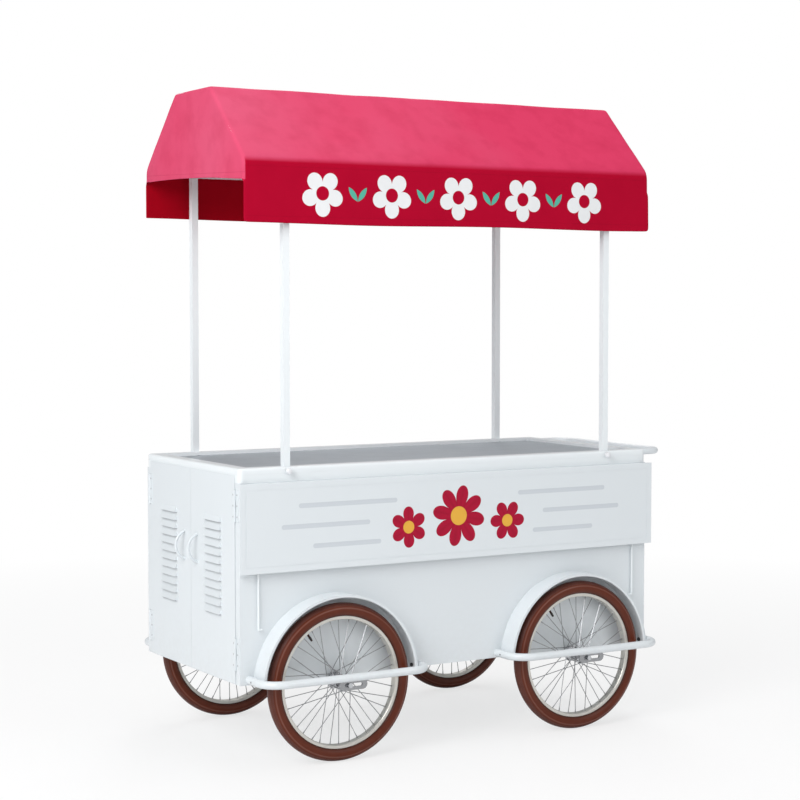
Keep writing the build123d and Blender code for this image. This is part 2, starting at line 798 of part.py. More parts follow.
def spoke_shape(side, outside):
    """One bent spoke at hole angle 0: through its flange hole, round the elbow, then straight to the rim."""
    lead = 1 if outside else -1
    reach = sqrt(hub_flange_radius**2 - spoke_circle**2)
    turn = radians(lead * spoke_crosses * spoke_step)
    end_radius = rim_inner_radius + spoke_radius
    end = Vector(end_radius * cos(turn), side * spoke_rim_offset, end_radius * sin(turn))
    slope = flange_outer / hypot(end.X - spoke_circle, end.Z)
    if outside:
        elbow_y = flange_outer + spoke_radius + slope * reach + seat_gap
        head_y = flange_inner - spoke_stub
    else:
        elbow_y = flange_inner - spoke_radius - seat_gap
        head_y = flange_outer + spoke_stub
    head = Vector(spoke_circle, side * head_y, 0)
    elbow = Vector(spoke_circle, side * elbow_y, 0)
    with BuildPart() as spoke:
        with BuildLine() as path:
            Polyline(head, elbow, end)
        with BuildSketch(Plane(origin=head, z_dir=elbow - head)):
            RegularPolygon(spoke_radius, 6)
        sweep(path=path.line, transition=Transition.RIGHT)
        Cylinder(rim_inner_radius, hub_over_nuts, rotation=(90, 0, 0), mode=Mode.INTERSECT)
    return spoke.part


def spokes_shape():
    spokes = []
    for side in (-1, 1):
        first = 0 if side > 0 else spoke_step / 2
        for outside in (True, False):
            pattern = spoke_shape(side, outside)
            skip = 0 if outside else 1
            for i in range(skip, spokes_per_flange, 2):
                spokes.append(pattern.rotate(Axis.Y, -(first + i * spoke_step)))
    return spokes


def cone_shape(side):
    """Bearing and cone, fixed on the axle, out to the face of the axle plate."""
    inner = side * (hub_length / 2 - bearing_width)
    outer = side * hub_length / 2
    nut_face = side * hub_over_nuts / 2
    with BuildPart() as cone:
        with BuildSketch(Plane.XY):
            with BuildLine():
                Polyline((axle_radius, inner), (bearing_radius, inner), (bearing_radius, outer),
                         (cone_radius, outer), (cone_radius, nut_face), (axle_radius, nut_face), close=True)
            make_face()
        revolve(axis=Axis.Y)
    return cone.part


plate_out = wheel_y + hub_over_nuts / 2
plate_in = wheel_y - hub_over_nuts / 2
guard_y = plate_out + plate_thickness + guard_tube / 2
fender_radius = tyre_radius + fender_gap
guard_half = fender_radius + guard_tube / 2 + fender_spacer


def nut_shape(start_y):
    """Axle nut with its bore, from a given face outwards along +Y."""
    with BuildPart() as nut:
        with BuildSketch(Plane.XZ.offset(-start_y)):
            RegularPolygon(nut_across / 2, 6, major_radius=False)
            Circle(axle_radius, mode=Mode.SUBTRACT)
        extrude(amount=-nut_length)
    return nut.part


def outer_plate_shape():
    """Slotted axle plate that hangs on the inner side of the guard bar."""
    tab = plate_length - plate_height
    with BuildPart() as plate:
        with BuildSketch(Plane.XZ.offset(-(plate_out - wheel_y))):
            with Locations((plate_behind_axle - plate_length / 2, 0)):
                SlotOverall(plate_length, plate_height)
                Rectangle(tab, guard_rise, align=(Align.CENTER, Align.MIN))
                SlotOverall(plate_slot, 2 * (axle_radius + seat_gap), mode=Mode.SUBTRACT)
        extrude(amount=-plate_thickness)
    return plate.part


def inner_bracket_shape():
    """Axle lug welded under the base rail."""
    top = body_bottom - tyre_radius
    back = plate_in - wheel_y - plate_thickness
    with BuildPart() as bracket:
        with BuildSketch(Plane.XZ.offset(-back)):
            Circle(plate_height / 2)
            with BuildLine():
                Polyline((-plate_height / 2, 0), (plate_height / 2, 0), (bracket_length / 2, top),
                         (-bracket_length / 2, top), close=True)
            make_face()
            with Locations((0, top)):
                Rectangle(bracket_length, plate_height, align=(Align.CENTER, Align.MIN), mode=Mode.SUBTRACT)
            Circle(axle_radius + seat_gap, mode=Mode.SUBTRACT)
        extrude(amount=-plate_thickness)
    return bracket.part


def fender_shape():
    """Half-round fender with a rolled outer edge, about the wheel's axle."""
    inner_y = half_y - wheel_y
    outer_y = inner_y + fender_width
    low_angle = degrees(asin(fender_end_rise / fender_radius))
    with BuildPart() as fender:
        start = Plane(origin=(0, 0, 0), x_dir=(cos(radians(low_angle)), 0, sin(radians(low_angle))),
                      z_dir=(-sin(radians(low_angle)), 0, cos(radians(low_angle))))
        with BuildSketch(start):
            with Locations((fender_radius - fender_sheet, inner_y)):
                Rectangle(fender_sheet, fender_width, align=(Align.MIN, Align.MIN))
            with Locations((fender_radius - fender_edge, outer_y - fender_edge)):
                Circle(fender_edge)
        revolve(axis=Axis.Y, revolution_arc=-(180 - 2 * low_angle))
    return fender.part


def fender_bolt(end):
    """Bolt from inside the fender's end into the guard bar's arm, with the spacer between them."""
    middle = Plane.YZ.offset(0)
    y = half_y - wheel_y + fender_width / 2
    inside = fender_radius - fender_sheet
    seat = sqrt(inside**2 - (guard_rise + fender_bolt_head) ** 2) - running_clearance
    steps = ((seat - fender_bolt_head_height, seat, fender_bolt_head),
             (seat, guard_half + guard_tube / 2 - seat_gap, fender_bolt_radius),
             (fender_radius + seat_gap, guard_half - guard_tube / 2 - seat_gap, fender_bolt_head))
    with BuildPart() as bolt:
        for start, stop, radius in steps:
            with BuildSketch(middle.offset(end * start)):
                with Locations((y, guard_rise)):
                    Circle(radius)
            extrude(amount=end * (stop - start))
    return bolt.part


def drill_for_bolts(part, radius):
    """Cut the two fender bolt holes through a piece made about the wheel's axle."""
    y = half_y - wheel_y + fender_width / 2
    with BuildPart() as drilled:
        add(part)
        with BuildSketch(Plane.YZ.offset(-guard_half - guard_tube)):
            with Locations((y, guard_rise)):
                Circle(radius)
        extrude(amount=2 * (guard_half + guard_tube), mode=Mode.SUBTRACT)
    return drilled.part


def guard_bar_shape():
    face = half_y - wheel_y
    out = guard_y - wheel_y
    z = guard_rise
    points = [(-guard_half, face, z), (-guard_half, out, z), (guard_half, out, z), (guard_half, face, z)]
    return bent_tube(points, guard_bend, guard_tube / 2, guard_wall)


def placed(part, x, side):
    """Set a piece made about a wheel's axle in its place, turned round for the front of the cart."""
    turned = part if side > 0 else part.rotate(Axis.Z, 180)
    return turned.moved(Location((x, side * wheel_y, tyre_radius)))


def make_wheels():
    tyre, valve = tyre_shape()
    rim = rim_shape()
    hub = hub_shape()
    spokes = spokes_shape()
    bolt_hole = fender_bolt_radius + running_clearance
    fender = drill_for_bolts(fender_shape(), bolt_hole)
    guard_bar = drill_for_bolts(guard_bar_shape(), bolt_hole)
    axle_inner = plate_in - wheel_y - plate_thickness - nut_length
    axle_outer = plate_out - wheel_y + plate_thickness + nut_length
    axle = rod((0, axle_inner, 0), (0, axle_outer, 0), axle_radius)
    fixed = {
        "guard_bars": [guard_bar],
        "axles": [axle],
        "hub_cones": [cone_shape(-1), cone_shape(1)],
        "axle_nuts": [nut_shape(axle_inner), nut_shape(axle_outer - nut_length)],
        "axle_plates": [outer_plate_shape()],
        "axle_brackets": [inner_bracket_shape()],
        "fender_bolts": [fender_bolt(-1), fender_bolt(1)],
    }
    groups = {name: [] for name in fixed}
    for wheel, (x, side) in wheel_places.items():
        save_group([placed(tyre, x, side), placed(valve, x, side)], f"{wheel}_tyre")
        save(placed(rim, x, side), f"{wheel}_rim")
        save(placed(hub, x, side), f"{wheel}_hub")
        save_group([placed(spoke, x, side) for spoke in spokes], f"{wheel}_spokes")
        save(placed(fender, x, side), f"{wheel}_fender")
        for name, shapes in fixed.items():
            groups[name] += [placed(shape, x, side) for shape in shapes]
    for name, solids in groups.items():
        save_group(solids, name)


# Push handle at the right end: a bent tube welded to the end of the rail
def make_push_handle():
    near = cx + rail_half_x
    far = near + handle_reach
    arm_y = half_y - handle_inset
    z = rail_top - handle_drop
    points = [(near, -arm_y, z), (far, -arm_y, z), (far, arm_y, z), (near, arm_y, z)]
    save(bent_tube(points, handle_bend, handle_tube / 2, handle_wall), "push_handle")


# Roof: posts in sockets, thumbscrews, a frame of tubes and the fabric cover
socket_low = rail_top - socket_depth
post_low = socket_low + socket_wall + seat_gap
roof_length = body_length - 2 * roof_end_inset
roof_depth = body_depth + 2 * roof_overhang
ridge_height = eave_height + roof_rise
eave_tube_top = eave_height - cloth - seat_gap
eave_tube_y = roof_depth / 2 - cloth - seat_gap - eave_tube_inset - roof_tube / 2
truss_x = roof_length / 2 - cloth - seat_gap - roof_tube / 2


def make_post_sockets():
    sockets = []
    for x, y in post_places:
        with BuildPart() as socket:
            with BuildSketch(Plane.XY.offset(socket_low)):
                with Locations((x, y)):
                    Rectangle(socket_side, socket_side)
            extrude(amount=socket_depth)
            with BuildSketch(Plane.XY.offset(socket_low + socket_wall)):
                with Locations((x, y)):
                    Rectangle(socket_side - 2 * socket_wall, socket_side - 2 * socket_wall)
            extrude(amount=socket_depth, mode=Mode.SUBTRACT)
            with BuildSketch(Plane.XZ):
                with Locations((x, screw_height)):
                    Circle(screw_radius + running_clearance)
            extrude(amount=-rail_half_y if y > 0 else rail_half_y, mode=Mode.SUBTRACT)
        sockets.append(socket.part)
    save_group(sockets, "post_sockets")


def make_posts():
    length = eave_tube_top - roof_tube - post_low
    posts = [square_tube((x, y, post_low), (0, 0, 1), length, post_side, post_wall) for x, y in post_places]
    save_group(posts, "roof_posts")


def make_thumbscrews():
    names = ("front_left", "rear_left", "front_right", "rear_right")
    tip = post_y + post_side / 2 + seat_gap / 2
    knob_face = rail_half_y + seat_gap + screw_neck
    for name, (x, y) in zip(names, post_places):
        out = 1 if y > 0 else -1
        with BuildPart() as screw:
            with BuildSketch(Plane.XZ.offset(-out * tip)):
                with Locations((x, screw_height)):
                    Circle(screw_radius)
            extrude(amount=-out * (knob_face - tip))
            with BuildSketch(Plane.XZ.offset(-out * knob_face)):
                with Locations((x, screw_height)):
                    Circle(screw_knob_radius)
            extrude(amount=-out * screw_knob)
            fillet(screw.edges().sort_by(Axis.Y)[-1 if out > 0 else 0], radius=screw_knob_round)
        save(screw.part, f"{name}_thumbscrew")


def roof_section(inset):
    """Points of the roof's cross-section in Y and Z, drawn in from the outer face."""
    slope = hypot(roof_depth / 2 - ridge_half, ridge_height - eave_height)
    run = (roof_depth / 2 - ridge_half) / slope
    rise = (ridge_height - eave_height) / slope
    half = roof_depth / 2 - inset
    eave = eave_height - inset * (1 - rise) / run
    ridge = ridge_half - inset * (1 - run) / rise
    return half, eave, ridge, ridge_height - inset


def make_roof_frame():
    half, eave, ridge, top = roof_section(cloth + seat_gap)
    tubes = []
    eave_z = eave_tube_top - roof_tube / 2
    ridge_z = top - roof_tube / 2
    ridge_y = ridge - ridge_tube_inset - roof_tube / 2
    long_start = cx - truss_x - roof_tube / 2
    for side in (-1, 1):
        start = (long_start, side * eave_tube_y, eave_z)
        tubes.append(square_tube(start, (1, 0, 0), 2 * truss_x + roof_tube, roof_tube, roof_wall))
        start = (long_start, side * ridge_y, ridge_z)
        tubes.append(square_tube(start, (1, 0, 0), 2 * truss_x + roof_tube, roof_tube, roof_wall))
    between_ridges = 2 * ridge_y - roof_tube
    for offset in (-truss_x, 0, truss_x):
        tubes.append(square_tube((cx + offset, -between_ridges / 2, ridge_z), (0, 1, 0), between_ridges,
                                 roof_tube, roof_wall))
        for side in (-1, 1):
            tubes.append(rafter(cx + offset, side, ridge_y + roof_tube / 2, eave_tube_top))
    save_group(tubes, "roof_frame")


def rafter(x, side, high_y, eave_top):
    """Sloping tube under the cloth, mitred to the top of the eave tube and the side of the ridge tube."""
    half, eave, ridge, top = roof_section(cloth + seat_gap)
    pitch = (top - eave) / (half - ridge)
    steep = hypot(1, pitch)

    def outline(wall, past):
        low_y = eave_tube_y + roof_tube / 2 - wall
        upper = eave - wall * steep
        lower = eave - (rafter_depth - wall) * steep
        foot_z = eave_top - past
        end_y = high_y - past
        inner_foot = half - (foot_z - lower) / pitch
        crest_y = ridge + ridge_tube_inset
        crest_z = upper + (half - crest_y) * pitch
        points = [(low_y, foot_z), (low_y, upper + (half - low_y) * pitch), (crest_y, crest_z),
                  (end_y, crest_z), (end_y, lower + (half - end_y) * pitch), (inner_foot, foot_z)]
        return [(side * y, z) for y, z in points]

    with BuildPart() as tube:
        with BuildSketch(Plane.YZ.offset(x - roof_tube / 2)):
            Polygon(*outline(0, 0), align=None)
        extrude(amount=roof_tube)
        with BuildSketch(Plane.YZ.offset(x - roof_tube / 2 + roof_wall)):
            Polygon(*outline(roof_wall, rafter_cut), align=None)
        extrude(amount=roof_tube - 2 * roof_wall, mode=Mode.SUBTRACT)
    return tube.part


def roof_profile(inset):
    """Rounded cross-section of the roof as a sketch face in the current sketch."""
    half, eave, ridge, top = roof_section(inset)
    front_low = eave_height - front_valance - inset
    rear_low = eave_height - rear_valance - inset
    corners = [(-half, front_low), (-half, eave), (-ridge, top),
               (ridge, top), (half, eave), (half, rear_low)]
    outline = Polygon(*corners, align=None)
    rows = outline.vertices().group_by(Axis.Y)
    fillet(rows[-2], radius=eave_round - inset)
    fillet(rows[-1], radius=ridge_round - inset)


def make_roof_cover():
    with BuildPart() as roof_cover:
        with BuildSketch(Plane.YZ.offset(cx - roof_length / 2)):
            roof_profile(0)
        extrude(amount=roof_length)
        with BuildSketch(Plane.YZ.offset(cx - roof_length / 2 + cloth)):
            roof_profile(cloth)
        extrude(amount=roof_length - 2 * cloth, mode=Mode.SUBTRACT)
        inner_half = roof_depth / 2 - cloth
        front_z = eave_height - gable_front_drop
        rear_z = eave_height - gable_rear_drop
        low = eave_height - max(front_valance, rear_valance)
        with BuildSketch(Plane.YZ.offset(cx - roof_length / 2)):
            with BuildLine():
                Polyline((-inner_half, front_z), (-inner_half, low), (inner_half, low), (inner_half, rear_z))
                ThreePointArc((inner_half, rear_z), (0, (front_z + rear_z) / 2 + gable_sag),
                              (-inner_half, front_z))
            make_face()
        extrude(amount=roof_length, mode=Mode.SUBTRACT)
    save(roof_cover.part, "roof_cover")


make_body_frame()
make_panels()
make_left_end_frame()
make_floor_panel()
make_inner_shelf()
make_top_rail()
make_counter_top()
make_doors()
make_flap_gear()
make_wheels()
make_push_handle()
make_post_sockets()
make_posts()
make_thumbscrews()
make_roof_frame()
make_roof_cover()
print("body centre x", round(cx, 3), "flap hinge", round(flap_hinge_y, 3), round(flap_hinge_z, 3))
print("stay pivot", round(stay_y, 3), round(stay_pivot_z, 3), "ratio", round(stay_ratio, 5))
print("door hinge", round(hinge_axis_x, 3), round(hinge_axis_y, 3))
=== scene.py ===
"""Finishes, fabric roof and small fittings of a vending cart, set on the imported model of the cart."""

import json
import math

import bmesh
import bpy
from mathutils import Matrix, Vector, noise


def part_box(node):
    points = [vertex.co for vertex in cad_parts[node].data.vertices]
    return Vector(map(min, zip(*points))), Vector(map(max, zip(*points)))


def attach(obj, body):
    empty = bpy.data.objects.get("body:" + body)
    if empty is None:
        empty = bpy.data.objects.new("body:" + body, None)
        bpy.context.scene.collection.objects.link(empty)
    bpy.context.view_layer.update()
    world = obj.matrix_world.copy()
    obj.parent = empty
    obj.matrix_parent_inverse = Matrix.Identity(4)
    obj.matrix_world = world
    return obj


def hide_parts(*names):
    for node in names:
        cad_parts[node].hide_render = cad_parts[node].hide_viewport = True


bl_info = {
    "name": "Vending cart finishes",
    "version": (1, 0, 0),
    "blender": (4, 5, 0),
    "location": "View3D > Sidebar > Cart",
    "description": "Builds the finishes, the fabric roof and the small fittings of a vending cart",
    "category": "Object",
}

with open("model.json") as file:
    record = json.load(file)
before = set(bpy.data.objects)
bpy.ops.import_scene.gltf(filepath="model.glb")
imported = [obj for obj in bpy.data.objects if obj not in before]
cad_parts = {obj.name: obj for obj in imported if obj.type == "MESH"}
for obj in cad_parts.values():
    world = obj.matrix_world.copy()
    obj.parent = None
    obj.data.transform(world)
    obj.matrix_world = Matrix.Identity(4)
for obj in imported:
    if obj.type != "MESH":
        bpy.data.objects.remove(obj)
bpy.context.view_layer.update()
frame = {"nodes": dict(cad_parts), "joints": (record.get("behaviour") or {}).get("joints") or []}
NODES = frame["nodes"]
JOINTS = {joint["name"]: joint for joint in frame["joints"]}
ENDS = ("front", "rear")
WHEELS = ("front_left", "front_right", "rear_left", "rear_right")
ROOF_LOW, ROOF_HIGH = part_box("roof_cover")
FLAP_LOW, FLAP_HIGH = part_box("counter_flap")
BODY_LOW, BODY_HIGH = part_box("body_frame")
MIDDLE_X = (BODY_LOW.x + BODY_HIGH.x) / 2

# Lengths below are in metres.

# Paint: its clear coat's weight, and the heights between which dust thickens downwards.
PAINT_COAT = 0.25
DUST_TOP = 0.62
DUST_SPAN = 0.60

# Prints: the softness of their edges, and a flower's parts as shares of its radius.
PRINT_EDGE = 0.0012
PETAL_FOOT = 0.46
PETAL_REACH = 0.52
PETAL_FULLNESS = 0.6
HEART_SHARE = 0.30

# Flap: stripes by height from its middle, start and stop from its middle; flowers by side, height, radius,
# petals and turn.
FLAP_SKIN = 0.003
STRIPES = ((0.064, 0.24, 0.58), (0.0, 0.34, 0.64), (-0.064, 0.30, 0.53))
STRIPE_HALF = 0.0075
STRIPE_EDGE = 0.0008
FLAP_FLOWERS = ((0.0, 0.0, 0.102, 8, 0.2), (-0.190, -0.026, 0.068, 6, 0.5), (0.190, -0.026, 0.068, 6, 0.0))

# Louvres of the doors, as pressed in the solids. Their middle is measured from the door's lower edge.
LOUVRE_COUNT = 12
LOUVRE_PITCH = 0.0264
LOUVRE_WIDTH = 0.115
LOUVRE_HEIGHT = 0.017
LOUVRE_MIDDLE = 0.357
LOUVRE_COLUMN_Y = 0.166
# Painted shadow on the sheet under each louvre's lip: its height and the softness of its edges.
SHADOW_BAND = 0.0085
SHADOW_EDGE = 0.001

# Tyre: radii of its zones and raised lines about the axle, and how fast its tread pattern repeats.
TREAD_FROM = 0.2405
# Painted shade on the wall beside the rim: the radius that it reaches and how far it fades.
RIM_SHADE_TO = 0.2185
RIM_SHADE_FADE = 0.010
BEAD_LINE = 0.2145
BEAD_LINE_HALF = 0.0035
# The outer raised line, which is also painted paler as a highlight.
WALL_LINE = 0.2345
WALL_LINE_HALF = 0.0022
LINE_EDGE = 0.001
BLOCKS_ROUND = 130.0
BLOCKS_ACROSS = 300.0
RIBS_ACROSS = 420.0

# Spokes, laced as in the solids. The lead counts steps from a spoke's hole in the hub to its tip at the rim.
SPOKES_A_SIDE = 18
SPOKE_LEAD = 3
SPOKE_HOLES_RADIUS = 0.0225
SPOKE_TIPS_RADIUS = 0.198
SPOKE_TIPS_Y = 0.003
ELBOWS_OUTER_Y = 0.0356
ELBOWS_INNER_Y = 0.0269

# Valves: their lean from upright, the radius where the stem ends and how far the cap covers it.
VALVE_LEAN = math.radians(35)
VALVE_TOP = 0.170
CAP_OVERLAP = 0.002

# Cloth: distances at which points count as one place.
SAME_PLACE = 1e-5
MERGE = 0.0008

# Hanging cloth: where the valances start, their waves in radians a metre, the lift of their lower edges, the
# height of the end panels' loose part and how far it bellies out, and the depths of the creases.
VALANCE_TOP = 0.01
VALANCE_BAND = 0.02
LONG_WAVE = 9.0
SHORT_WAVE = 21.0
SHORT_SHARE = 0.6
EDGE_LIFT = 0.002
LIFT_WAVE = 7.0
LOOSE_HEIGHT = 0.12
BELLY = 0.004
CREASE = 0.0016
FINE_CREASE = 0.0006

# Colour of the cloth: where the painted light of the slopes starts below the eaves and how soft its edge is,
# how near the ends a point belongs to an end panel, lit the same way, the print on the front valance, and the
# stitches and threads.
LIT_BELOW_EAVE = 0.004
LIT_EDGE = 0.016
END_SKIN = 0.007
END_EDGE = 0.002
FRONT_SKIN = 0.04
PRINT_CUT = 0.001
PRINT_PITCH = 0.25
PRINT_RADIUS = 0.074
PRINT_PETALS = 5
PRINT_DROP = 0.004
FLOWERS_WITHIN = 0.635
LEAVES_WITHIN = 0.52
LEAF_APART = 0.017
LEAF_LEAN = 0.95
LEAF_HALF = 0.009
LEAF_POINT = 12.0
EAVE_STITCH = 0.026
STITCH_HALF = 0.0007
THREADS = 4200.0

# Hinge screws: rows of three from each end of a leaf, their distance from the hinge's axis, and their heads.
SCREW_ROW = (0.0, 0.034, 0.068)
SCREWS_FROM_LOW = 0.016
SCREWS_FROM_HIGH = 0.084
SCREWS_OFF_AXIS = 0.0115
FRAME_LEAF_FACE = 0.0028
DOOR_LEAF_FACE = 0.0004
SCREW_FOOT = 0.0032
SCREW_TOP = 0.0022
SCREW_HEIGHT = 0.001
RECESS_INSET = 0.0011
RECESS_DEPTH = 0.0005

# Stage: the floor's radius, where its glow starts and how far it grows; the lights by name, place, size and
# power, and the point that they face.
FLOOR_RADIUS = 60.0
GLOW_FROM = 1.6
GLOW_SPAN = 3.0
GLOW_LEAST = 0.68
GLOW_RISE = 0.32
SKY_STRENGTH = 0.42
LIGHTS = (("key_light", (-4.6, -2.4, 3.8), 3.2, 230.0),
          ("fill_light", (2.4, -5.2, 2.6), 3.0, 52.0),
          ("top_light", (0.6, 0.2, 5.6), 3.4, 85.0),
          ("back_light", (2.6, 4.4, 5.2), 2.4, 70.0))
LIT_POINT = Vector((0, 0, 1.0))
SENSOR_MM = 36.0


def length(name, words, default):
    """A length in metres that a user may change."""
    return bpy.props.FloatProperty(name=name, description=words, default=default, unit="LENGTH", precision=4)


def colour(name, words, default):
    """A linear colour."""
    return bpy.props.FloatVectorProperty(name=name, description=words, default=default, size=3, min=0, max=1,
                                         subtype="COLOR")


class CartPaint(bpy.types.PropertyGroup):
    white: colour("White", "Paint of the sheet metal and tubes", (0.735, 0.777, 0.803))
    # A lighter copy of the white paint: painted light on the rail, posts and stays.
    lit_white: colour("Lit white", "Paint of the rail, posts and stays", (0.83, 0.87, 0.89))
    dust: colour("Dust", "Road dust low on the paint", (0.55, 0.53, 0.50))
    # Colour of the painted shadow under the louvres' lips.
    lip_shadow: colour("Painted shadow", "Grime under the lips of the louvres", (0.30, 0.31, 0.33))
    steel: colour("Counter steel", "Brushed steel of the counter", (0.335, 0.365, 0.40))
    chrome: colour("Chrome", "Hubs, axle plates and nuts", (0.58, 0.59, 0.61))
    print_red: colour("Print red", "Large flowers printed on the flap", (0.41, 0.005, 0.034))
    print_grey: colour("Print grey", "Stripes printed on the flap", (0.578, 0.617, 0.658))
    print_yellow: colour("Print yellow", "Hearts of the printed flowers", (0.78, 0.42, 0.06))


class CartWheels(bpy.types.PropertyGroup):
    tyre: colour("Tyre", "Brown rubber of the side walls", (0.108, 0.019, 0.006))
    # Colour of the painted shade beside the rim.
    tyre_rim_shade: colour("Tyre rim shade", "Painted shade on the rubber beside the rim", (0.030, 0.008, 0.004))
    # Colour of the painted highlight on the outer raised line.
    line_highlight: colour("Tyre line highlight", "Raised line on the tyre, painted paler as a highlight", (0.215, 0.085, 0.062))
    tread: colour("Tread", "Rubber of the tread", (0.085, 0.025, 0.017))
    rim: colour("Rim", "Polished rim", (0.71, 0.69, 0.64))
    nipple_length: length("Nipple length", "Length of a spoke nipple below the rim", 0.011)
    nipple_radius: length("Nipple radius", "Radius of a spoke nipple at the rim", 0.0021)
    cap_length: length("Valve cap length", "Length of the valve's cap", 0.014)
    cap_radius: length("Valve cap radius", "Radius of the valve's cap", 0.0048)


class CartRoof(bpy.types.PropertyGroup):
    cloth: colour("Cloth", "Crimson of the coated cloth", (0.435, 0.001, 0.024))
    # Lighter copies of the cloth: painted light on the slopes and end panels.
    lit_cloth: colour("Lit cloth", "Cloth of the slopes and end panels, painted lighter as light", (0.635, 0.040, 0.113))
    palest_lit_cloth: colour("Palest lit cloth", "Palest cloth, painted light at the lit end", (0.65, 0.108, 0.198))
    inside: colour("Inside", "Darker inner face of the cloth", (0.40, 0.0005, 0.010))
    print_white: colour("Print white", "Flowers printed on the valance", (0.82, 0.83, 0.84))
    print_green: colour("Print green", "Leaves printed on the valance", (0.10, 0.44, 0.34))
    eave: length("Eave height", "Height of the fold between slope and valance", 1.880)
    ridge_half: length("Ridge half width", "Half the width of the flat at the top", 0.132)
    rear_low: length("Rear valance bottom", "Height of the rear valance's lower edge", 1.718)
    gable_front: length("Gable front", "Height of the end panels' lower edge at the front", 1.812)
    gable_rear: length("Gable rear", "Height of the end panels' lower edge at the rear", 1.838)
    gable_rise: length("Gable rise", "Rise of the end panel's lower edge in its middle", 0.008)
    eave_round: length("Eave round", "Radius of the folds at the eaves", 0.018)
    ridge_round: length("Ridge round", "Radius of the folds at the ridge", 0.008)
    corner_round: length("Corner round", "Radius of the sewn corners at the ends", 0.010)
    thickness: length("Cloth thickness", "Thickness of the cloth", 0.0016)
    sag: length("Sag", "How far the slopes sink between the rafters", 0.007)
    wave: length("Wave", "How far the valance's lower edge waves in and out", 0.004)
    grid: length("Grid", "Spacing of the cloth's mesh", 0.020)
    hem: length("Hem", "Height of the sewn hem", 0.022)


class CartStage(bpy.types.PropertyGroup):
    floor: colour("Floor", "Colour of the floor", (0.90, 0.90, 0.90))
    camera_place: bpy.props.FloatVectorProperty(name="Camera", description="Place of the camera", size=3,
                                                default=(-3.4336, -5.690, 1.450), subtype="TRANSLATION")
    yaw: bpy.props.FloatProperty(name="Yaw", description="Turn of the view from +Y towards +X",
                                 default=math.radians(30.78), subtype="ANGLE")
    pitch: bpy.props.FloatProperty(name="Pitch", description="Tilt of the view below the level",
                                   default=math.radians(2.98), subtype="ANGLE")
    lens: bpy.props.FloatProperty(name="Lens", description="Focal length in millimetres", default=87.5)


class Reading:
    """A shader socket that can stand in a sum."""

    def __init__(self, finish, socket):
        self.finish = finish
        self.socket = socket

    def math(self, operation, *others, **settings):
        return self.finish.node("ShaderNodeMath", dict(operation=operation, **settings), (self, *others))

    def __add__(self, other):
        return self.math("ADD", other)

    def __mul__(self, other):
        return self.math("MULTIPLY", other)

    def __sub__(self, other):
        return self.math("SUBTRACT", other)

    def __rsub__(self, other):
        return self.math("MULTIPLY_ADD", -1.0, other)

    def __truediv__(self, other):
        return self.math("DIVIDE", other)

    def __mod__(self, other):
        return self.math("FLOORED_MODULO", other)

    def __gt__(self, other):
        return self.math("GREATER_THAN", other)

    def __abs__(self):
        return self.math("ABSOLUTE")

    def clamp(self):
        return self.math("ADD", 0.0, use_clamp=True)

    def edge(self, width):
        """1 where the reading is above 0 and 0 below, softened over a width."""
        return (self / width + 0.5).clamp()


class Finish:
    """A procedural material built from nodes, on object coordinates unless it asks for others."""

    def __init__(self, name):
        self.material = bpy.data.materials.new(name)
        self.material.use_nodes = True
        self.tree = self.material.node_tree
        self.shader = self.tree.nodes["Principled BSDF"]
        self.place = self.node("ShaderNodeTexCoord", output="Object")

    def node(self, kind, settings=None, inputs=(), output=0):
        """Adds a node, sets its options, then gives its sockets their values or links."""
        made = self.tree.nodes.new(kind)
        for key, value in (settings or {}).items():
            setattr(made, key, value)
        pairs = inputs.items() if isinstance(inputs, dict) else enumerate(inputs)
        for key, value in pairs:
            self.feed(made.inputs[key], value)
        return Reading(self, made.outputs[output])

    def feed(self, socket, value):
        if isinstance(value, Reading):
            self.tree.links.new(value.socket, socket)
        else:
            socket.default_value = value

    def axes(self, place=None):
        """The three coordinates of a point, on the object unless another place is given."""
        split = self.node("ShaderNodeSeparateXYZ", inputs=(place or self.place,))
        return [Reading(self, out) for out in split.socket.node.outputs]

    def stretched(self, stretch):
        """Object coordinates stretched along each axis."""
        return self.node("ShaderNodeMapping", {"vector_type": "POINT"},
                         {"Vector": self.place, "Scale": stretch})

    def cloud(self, scale, detail=3.0, place=None):
        """Soft noise about 0.5."""
        return self.node("ShaderNodeTexNoise", inputs={"Vector": place or self.place, "Scale": scale,
                                                       "Detail": detail})

    def mix(self, factor, first, second):
        """A colour between two colours."""
        return self.node("ShaderNodeMix", {"data_type": "RGBA"},
                         {0: factor, 6: rgba(first), 7: rgba(second)}, 2)

    def bump(self, height, distance, strength):
        return self.node("ShaderNodeBump",
                         inputs={"Height": height, "Distance": distance, "Strength": strength})

    def surface(self, **values):
        """Feeds the shader's sockets, named with _ for a space."""
        for key, value in values.items():
            self.feed(self.shader.inputs[key.replace("_", " ")], value)
        return self.material

    def shade(self):
        """The colour that feeds the shader so far."""
        return Reading(self, self.shader.inputs["Base Color"].links[0].from_socket)


def rgba(value):
    return value if isinstance(value, Reading) else (*value, 1.0)


def toned(shade, factor):
    """A colour made darker, or lighter by a factor above 1."""
    return [part * factor for part in shade]


def distance(across, up):
    """Distance of a point from a middle, both as shader readings."""
    return (across * across + up * up).math("SQRT")


def dress(material, *names):
    """Gives CAD nodes a finish."""
    for name in names:
        node = NODES[name]
        node.data.materials.clear()
        node.data.materials.append(material)


def add(name, data):
    """Makes an object and links it to the scene."""
    made = bpy.data.objects.new(name, data)
    bpy.context.scene.collection.objects.link(made)
    return made


def piece(name, mesh_tool, body, material, smooth=True):
    """Makes an object of a finished bmesh and sets it on its body."""
    mesh = bpy.data.meshes.new(name)
    mesh_tool.to_mesh(mesh)
    mesh_tool.free()
    mesh.materials.append(material)
    if smooth:
        mesh.shade_smooth()
    made = add(name, mesh)
    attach(made, body)
    return made


def set_along(place, way):
    """Matrix that moves a shape to a place and turns its Z axis along a direction."""
    return Matrix.Translation(place) @ way.to_track_quat("Z", "Y").to_matrix().to_4x4()


